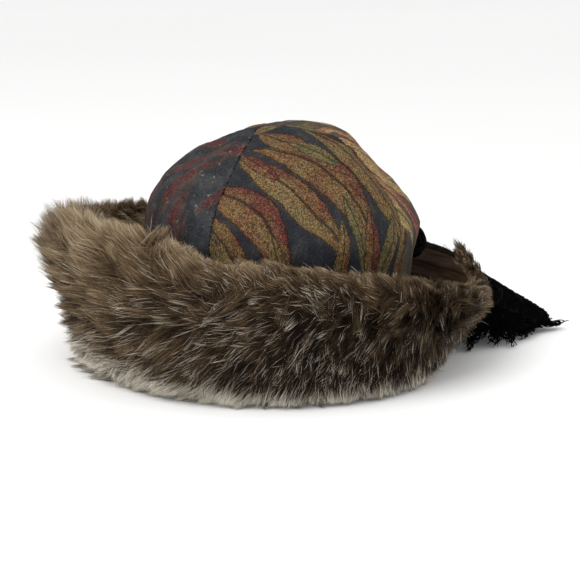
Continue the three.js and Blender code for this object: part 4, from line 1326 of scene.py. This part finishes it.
def band_section(azimuth):
    """The closed section of the band: up its pleated face, and down its back against the crown."""
    half = BAND["points"] // 2
    up = np.linspace(0, 1, half)
    slant = 2 * math.pi * (3.2 * up + 1.5 * azimuth / 360) + 0.8 * np.sin(np.radians(3 * azimuth))
    edge = np.clip(np.minimum(up, 1 - up) * 9, 0.25, 1)
    outer = BAND["inner"] + edge * (BAND["thick"] + 0.9 * np.sin(slant))
    high = BAND["high"] - BAND["dip"] * (0.5 + 0.5 * math.cos(math.radians(azimuth - 20))) ** 0.5
    height = BAND["low"] + (high - BAND["low"]) * up
    back = np.stack([np.full(half, BAND["inner"]), height[::-1]], -1)
    return np.vstack([np.stack([outer, height], -1), back])


band = ring_of("wound_band", BAND["turns"], BAND["points"], band_section)
finish_piece(band, crepe, "black_cloth", "tie_band")

# %% [markdown]
# Yarns and the narrow pleats of gathered cloth are both thin closed tubes. One function makes any
# number of them as a single mesh from their paths.


# %% Tubes
def tubes(name, paths, radius, sides=3):
    """One mesh of closed tubes along the paths, thinner at both ends."""
    count, steps = paths.shape[:2]
    ahead = unit(np.gradient(paths, axis=1))
    side = unit(np.cross(ahead, [0.3, 0.2, 1.0]))
    other = np.cross(ahead, side)
    size = radius * np.concatenate([[0.6], np.ones(steps - 2), [0.35]])[None, :, None]
    angles = np.arange(sides) * 2 * math.pi / sides
    rim = [paths + size * (math.cos(a) * side + math.sin(a) * other) for a in angles]
    points = np.stack(rim, 2).reshape(-1, 3)
    faces = []
    for tube in range(count):
        base = tube * steps * sides
        for step in range(steps - 1):
            a, b = base + step * sides, base + (step + 1) * sides
            faces += [(a + k, a + (k + 1) % sides, b + (k + 1) % sides, b + k) for k in range(sides)]
        last = base + (steps - 1) * sides
        faces += [tuple(base + k for k in reversed(range(sides))), tuple(last + k for k in range(sides))]
    mesh = bpy.data.meshes.new(name)
    mesh.from_pydata((points * MM).tolist(), [], faces)
    obj = bpy.data.objects.new(name, mesh)
    scene.collection.objects.link(obj)
    outwards(obj)
    smooth_look(obj, 180)
    return obj


print("tubes ready")

# %% [markdown]
# The knot is the tie passed round itself and pulled tight: a core of bunched cloth, and one turn
# that crosses over it. Both start as primitives and are pleated along their length.

# %% Knot
KNOT = {"azimuth": 116, "r": 102.5, "z": 78, "across": 10, "radial": 8.5, "tall": 10.5}
centre = polar(np.array([KNOT["azimuth"]]), np.array([KNOT["r"]]), np.array([KNOT["z"]]))[0]
bpy.ops.object.select_all(action="DESELECT")
bpy.ops.mesh.primitive_uv_sphere_add(segments=48, ring_count=28, radius=MM)
knot = bpy.context.active_object
knot.name = "tie_knot"
ball = points_of(knot)
pleat = 1 + 0.15 * np.sin(7 * np.arctan2(ball[:, 1], ball[:, 0]) + 3.5 * ball[:, 2]) * (1 - ball[:, 2] ** 2)
core = ball * pleat[:, None] * [KNOT["across"], KNOT["radial"], KNOT["tall"]]
core += ball * soft_noise(core, 9, 41)[:, None]
side = np.radians(KNOT["azimuth"])
turn = np.array([[math.cos(side), math.sin(side), 0], [-math.sin(side), math.cos(side), 0], [0, 0, 1]])
put(knot, core @ turn + centre)
bpy.ops.object.select_all(action="DESELECT")
bpy.ops.mesh.primitive_torus_add(major_segments=64, minor_segments=20, major_radius=MM, minor_radius=0.4 * MM)
wrap = bpy.context.active_object
WRAP = {"wide": 10, "high": 9, "cloth": 7, "broad": 19, "tilt": 64}
loop = points_of(wrap)
around_loop = np.arctan2(loop[:, 1], loop[:, 0])
tube = np.hypot(loop[:, 0], loop[:, 1]) - 1
tube_turn = np.arctan2(loop[:, 2], tube)
thick = 1 + 0.16 * np.sin(6 * tube_turn + 2 * around_loop)
bulk = WRAP["cloth"] * tube * thick
ring = np.stack([np.cos(around_loop) * (WRAP["wide"] + bulk), np.sin(around_loop) * (WRAP["high"] + bulk),
                 WRAP["broad"] * loop[:, 2] * thick], -1)
tilt = math.radians(WRAP["tilt"])
ring = ring @ np.array([[math.cos(tilt), 0, math.sin(tilt)], [0, 1, 0], [-math.sin(tilt), 0, math.cos(tilt)]])
put(wrap, ring @ turn + centre)
print("knot at", centre.round(1))

# %% [markdown]
# From the knot the cloth runs on down the band, gathered into pleats, to where its free end opens
# out. The pleats are tubes twisted round one route, and they are joined with the knot.

# %% Gathered cloth
STRAND = {"pleats": 10, "radius": 1.7, "bundle": 5.0, "flat": 0.55, "twist": 0.9}
route = polar(np.array([112, 121, 131, 141, 150]), np.array([103, 101.5, 99.5, 98.5, 98]),
              np.array([79, 75, 68, 61, 54]))
run = np.linspace(0, 1, 24)
middle = smooth_line(route, run)
out = unit((middle - AXIS) * [1, 1, 0])
beside = unit(np.cross(out, unit(np.gradient(middle, axis=0))))
pleats = []
for pleat in np.arange(STRAND["pleats"]) / STRAND["pleats"]:
    angle = 2 * math.pi * (pleat + STRAND["twist"] * run)
    size = STRAND["bundle"] * (1 - 0.3 * np.sin(math.pi * run))
    away = out * (STRAND["flat"] * size * np.cos(angle))[:, None]
    pleats.append(middle + away + beside * (size * np.sin(angle))[:, None])
gathered = tubes("gathered", np.array(pleats), STRAND["radius"], 6)
choose(gathered)
wrap.select_set(True)
knot.select_set(True)
bpy.context.view_layer.objects.active = knot
bpy.ops.object.join()
smooth_look(knot, 180)
finish_piece(knot, crepe, "black_cloth")

# %% [markdown]
# The tie end is one sheet of cloth, so it starts as a grid whose points are put on its surface. It
# falls in soft lengthwise folds that open toward the hem, with small creases across them, and gets
# its thickness last.

# %% Tie end
TAIL_GRID = {"across": 60, "down": 90}
TAIL_THICK = 1.7
bpy.ops.object.select_all(action="DESELECT")
bpy.ops.mesh.primitive_grid_add(
    x_subdivisions=TAIL_GRID["across"], y_subdivisions=TAIL_GRID["down"], size=0.1)
tail = bpy.context.active_object
tail.name = "tie_end"
grid = points_of(tail)
u, v = grid[:, 0] / 100 + 0.5, grid[:, 1] / 100 + 0.5
fold = np.interp(v, [0, 0.35, 0.8, 1], [0.6, 2.6, 2.2, 1.2]) * np.interp(u, [0, 0.2, 1], [0.25, 1, 1])
wave = fold * np.abs(np.sin(math.pi * (3.4 * u + 0.35 * np.sin(4 * v)))) - 0.5 * fold
wave += 0.5 * v * np.sin(2 * math.pi * 6.1 * u + 5 * v + 1.3) + 0.4 * soft_noise(tail_surface(u, v), 26, 51)
put(tail, tail_surface(u, v) + tail_out(u, v) * wave[:, None])
modify(tail, "SOLIDIFY", thickness=TAIL_THICK * MM, offset=0.0)
outwards(tail)
points = points_of(tail)
points[:, 2] = np.maximum(points[:, 2], 0.3)
put(tail, points)
smooth_look(tail, 180)
finish_piece(tail, crepe, "black_cloth", "tie_tail")

# %% [markdown]
# The fringe is loose curly yarn, knotted into the hem in small bunches. Each yarn is a thin tube of
# three sides along a path that leaves the hem, sags to the floor and curls at random. Some turn back
# in loops. The tips follow a line beside the hem, long at its far corner.

# %% Fringe
# Where the tips lie: the share of the hem's width, then x, y and z.
TIPS = np.array([[0.0, 130, 24, 3], [0.25, 144, 31, 2.5], [0.5, 167, 37, 2], [0.8, 190, 82, 2],
                 [1.0, 209, 100, 9]])
HOOK = {"share": 0.4, "from": 0.72, "back": 0.45}
LOWEST_YARN = 0.6
YARN = {"bunches": 22, "per_bunch": 19, "steps": 18, "radius": 0.45, "curl": 3.4}
LYING = {"count": 420, "off": 1.2, "curl": 0.7}


def yarn_paths():
    """A path for each yarn, with its bunch's heading and its own curls."""
    draw = np.random.default_rng(61)
    found = []
    for bunch in range(YARN["bunches"]):
        place = (bunch + 0.5) / YARN["bunches"]
        tip = np.array([np.interp(place, TIPS[:, 0], TIPS[:, k]) for k in (1, 2, 3)]) + AXIS
        tip[:2] += draw.normal(0, 4.0, 2)
        bunch_reach = draw.uniform(0.6, 1.35)
        for _ in range(YARN["per_bunch"]):
            start_u = np.clip(place + draw.normal(0, 0.03), 0, 1)
            start = tail_surface(np.array([start_u]), np.array([0.985]))[0]
            reach = bunch_reach * draw.uniform(0.75, 1.05)
            s = np.linspace(0, 1, YARN["steps"])[:, None]
            end = start + (tip - start) * reach + np.append(draw.normal(0, 1.6, 2), 0)
            line = start + (end - start) * s
            line[:, 2] = start[2] + (max(end[2], 1.0) - start[2]) * s[:, 0] ** 0.7
            for wave in (1.3, 2.7, 5.2):
                swing = draw.normal(0, YARN["curl"] / wave, 3) * [1, 1, 0.5]
                phase = 2 * math.pi * wave * s * draw.uniform(0.7, 1.3) + draw.uniform(0, 6)
                line = line + swing * np.sin(phase) * np.minimum(3 * s, 1)
            if draw.uniform() < HOOK["share"]:
                hook = np.maximum(s - HOOK["from"], 0) * 3.5
                aside = np.array([draw.normal(0, 4), draw.normal(0, 4), 0])
                line = line - (end - start) * HOOK["back"] * hook**1.5 + aside * hook
            line[:, 2] = np.maximum(line[:, 2], LOWEST_YARN)
            found.append(line)
    return np.array(found)


def lying_yarns():
    """Loose yarns of the open weave that lie on the cloth and run down to its hem."""
    draw = np.random.default_rng(62)
    found = []
    for _ in range(LYING["count"]):
        s = np.linspace(0, 1, YARN["steps"])
        v = draw.uniform(0.5, 0.85) + (draw.uniform(1.0, 1.06) - 0.85) * s
        u = draw.uniform(0.03, 0.97) + draw.uniform(-0.12, 0.02) * s
        u += 0.02 * np.sin(2 * math.pi * draw.uniform(1, 3) * s + draw.uniform(0, 6))
        u, v = np.clip(u, 0, 1), np.minimum(v, 1)
        off = LYING["off"] + 0.8 * np.abs(np.sin(7 * s + draw.uniform(0, 6)))
        curls = [np.sin(draw.uniform(9, 22) * s + draw.uniform(0, 6)) for _ in range(3)]
        line = tail_surface(u, v) + tail_out(u, v) * off[:, None] + LYING["curl"] * np.stack(curls, -1)
        line[:, 2] = np.maximum(line[:, 2], LOWEST_YARN)
        found.append(line)
    return np.array(found)


fringe = tubes("yarn_fringe", np.concatenate([yarn_paths(), lying_yarns()]), YARN["radius"])
finish_piece(fringe, yarn, "black_cloth")

# %% [markdown]
# Last come the facts about the cloth: its flat size before it was sewn or draped.

# %% Cloth facts and sizes
def cloth_area(obj):
    """Half the surface of a thin closed wall, in square metres."""
    return sum(face.area for face in obj.data.polygons) / 2


for name in GORES:
    gore = bpy.data.objects["sewn_" + name]
    print(gore.name, "cloth", round(cloth_area(gore), 4), "square metres")
for cloth in (facing, band, tail):
    print(cloth.name, "cloth", round(cloth_area(cloth), 4), "square metres")
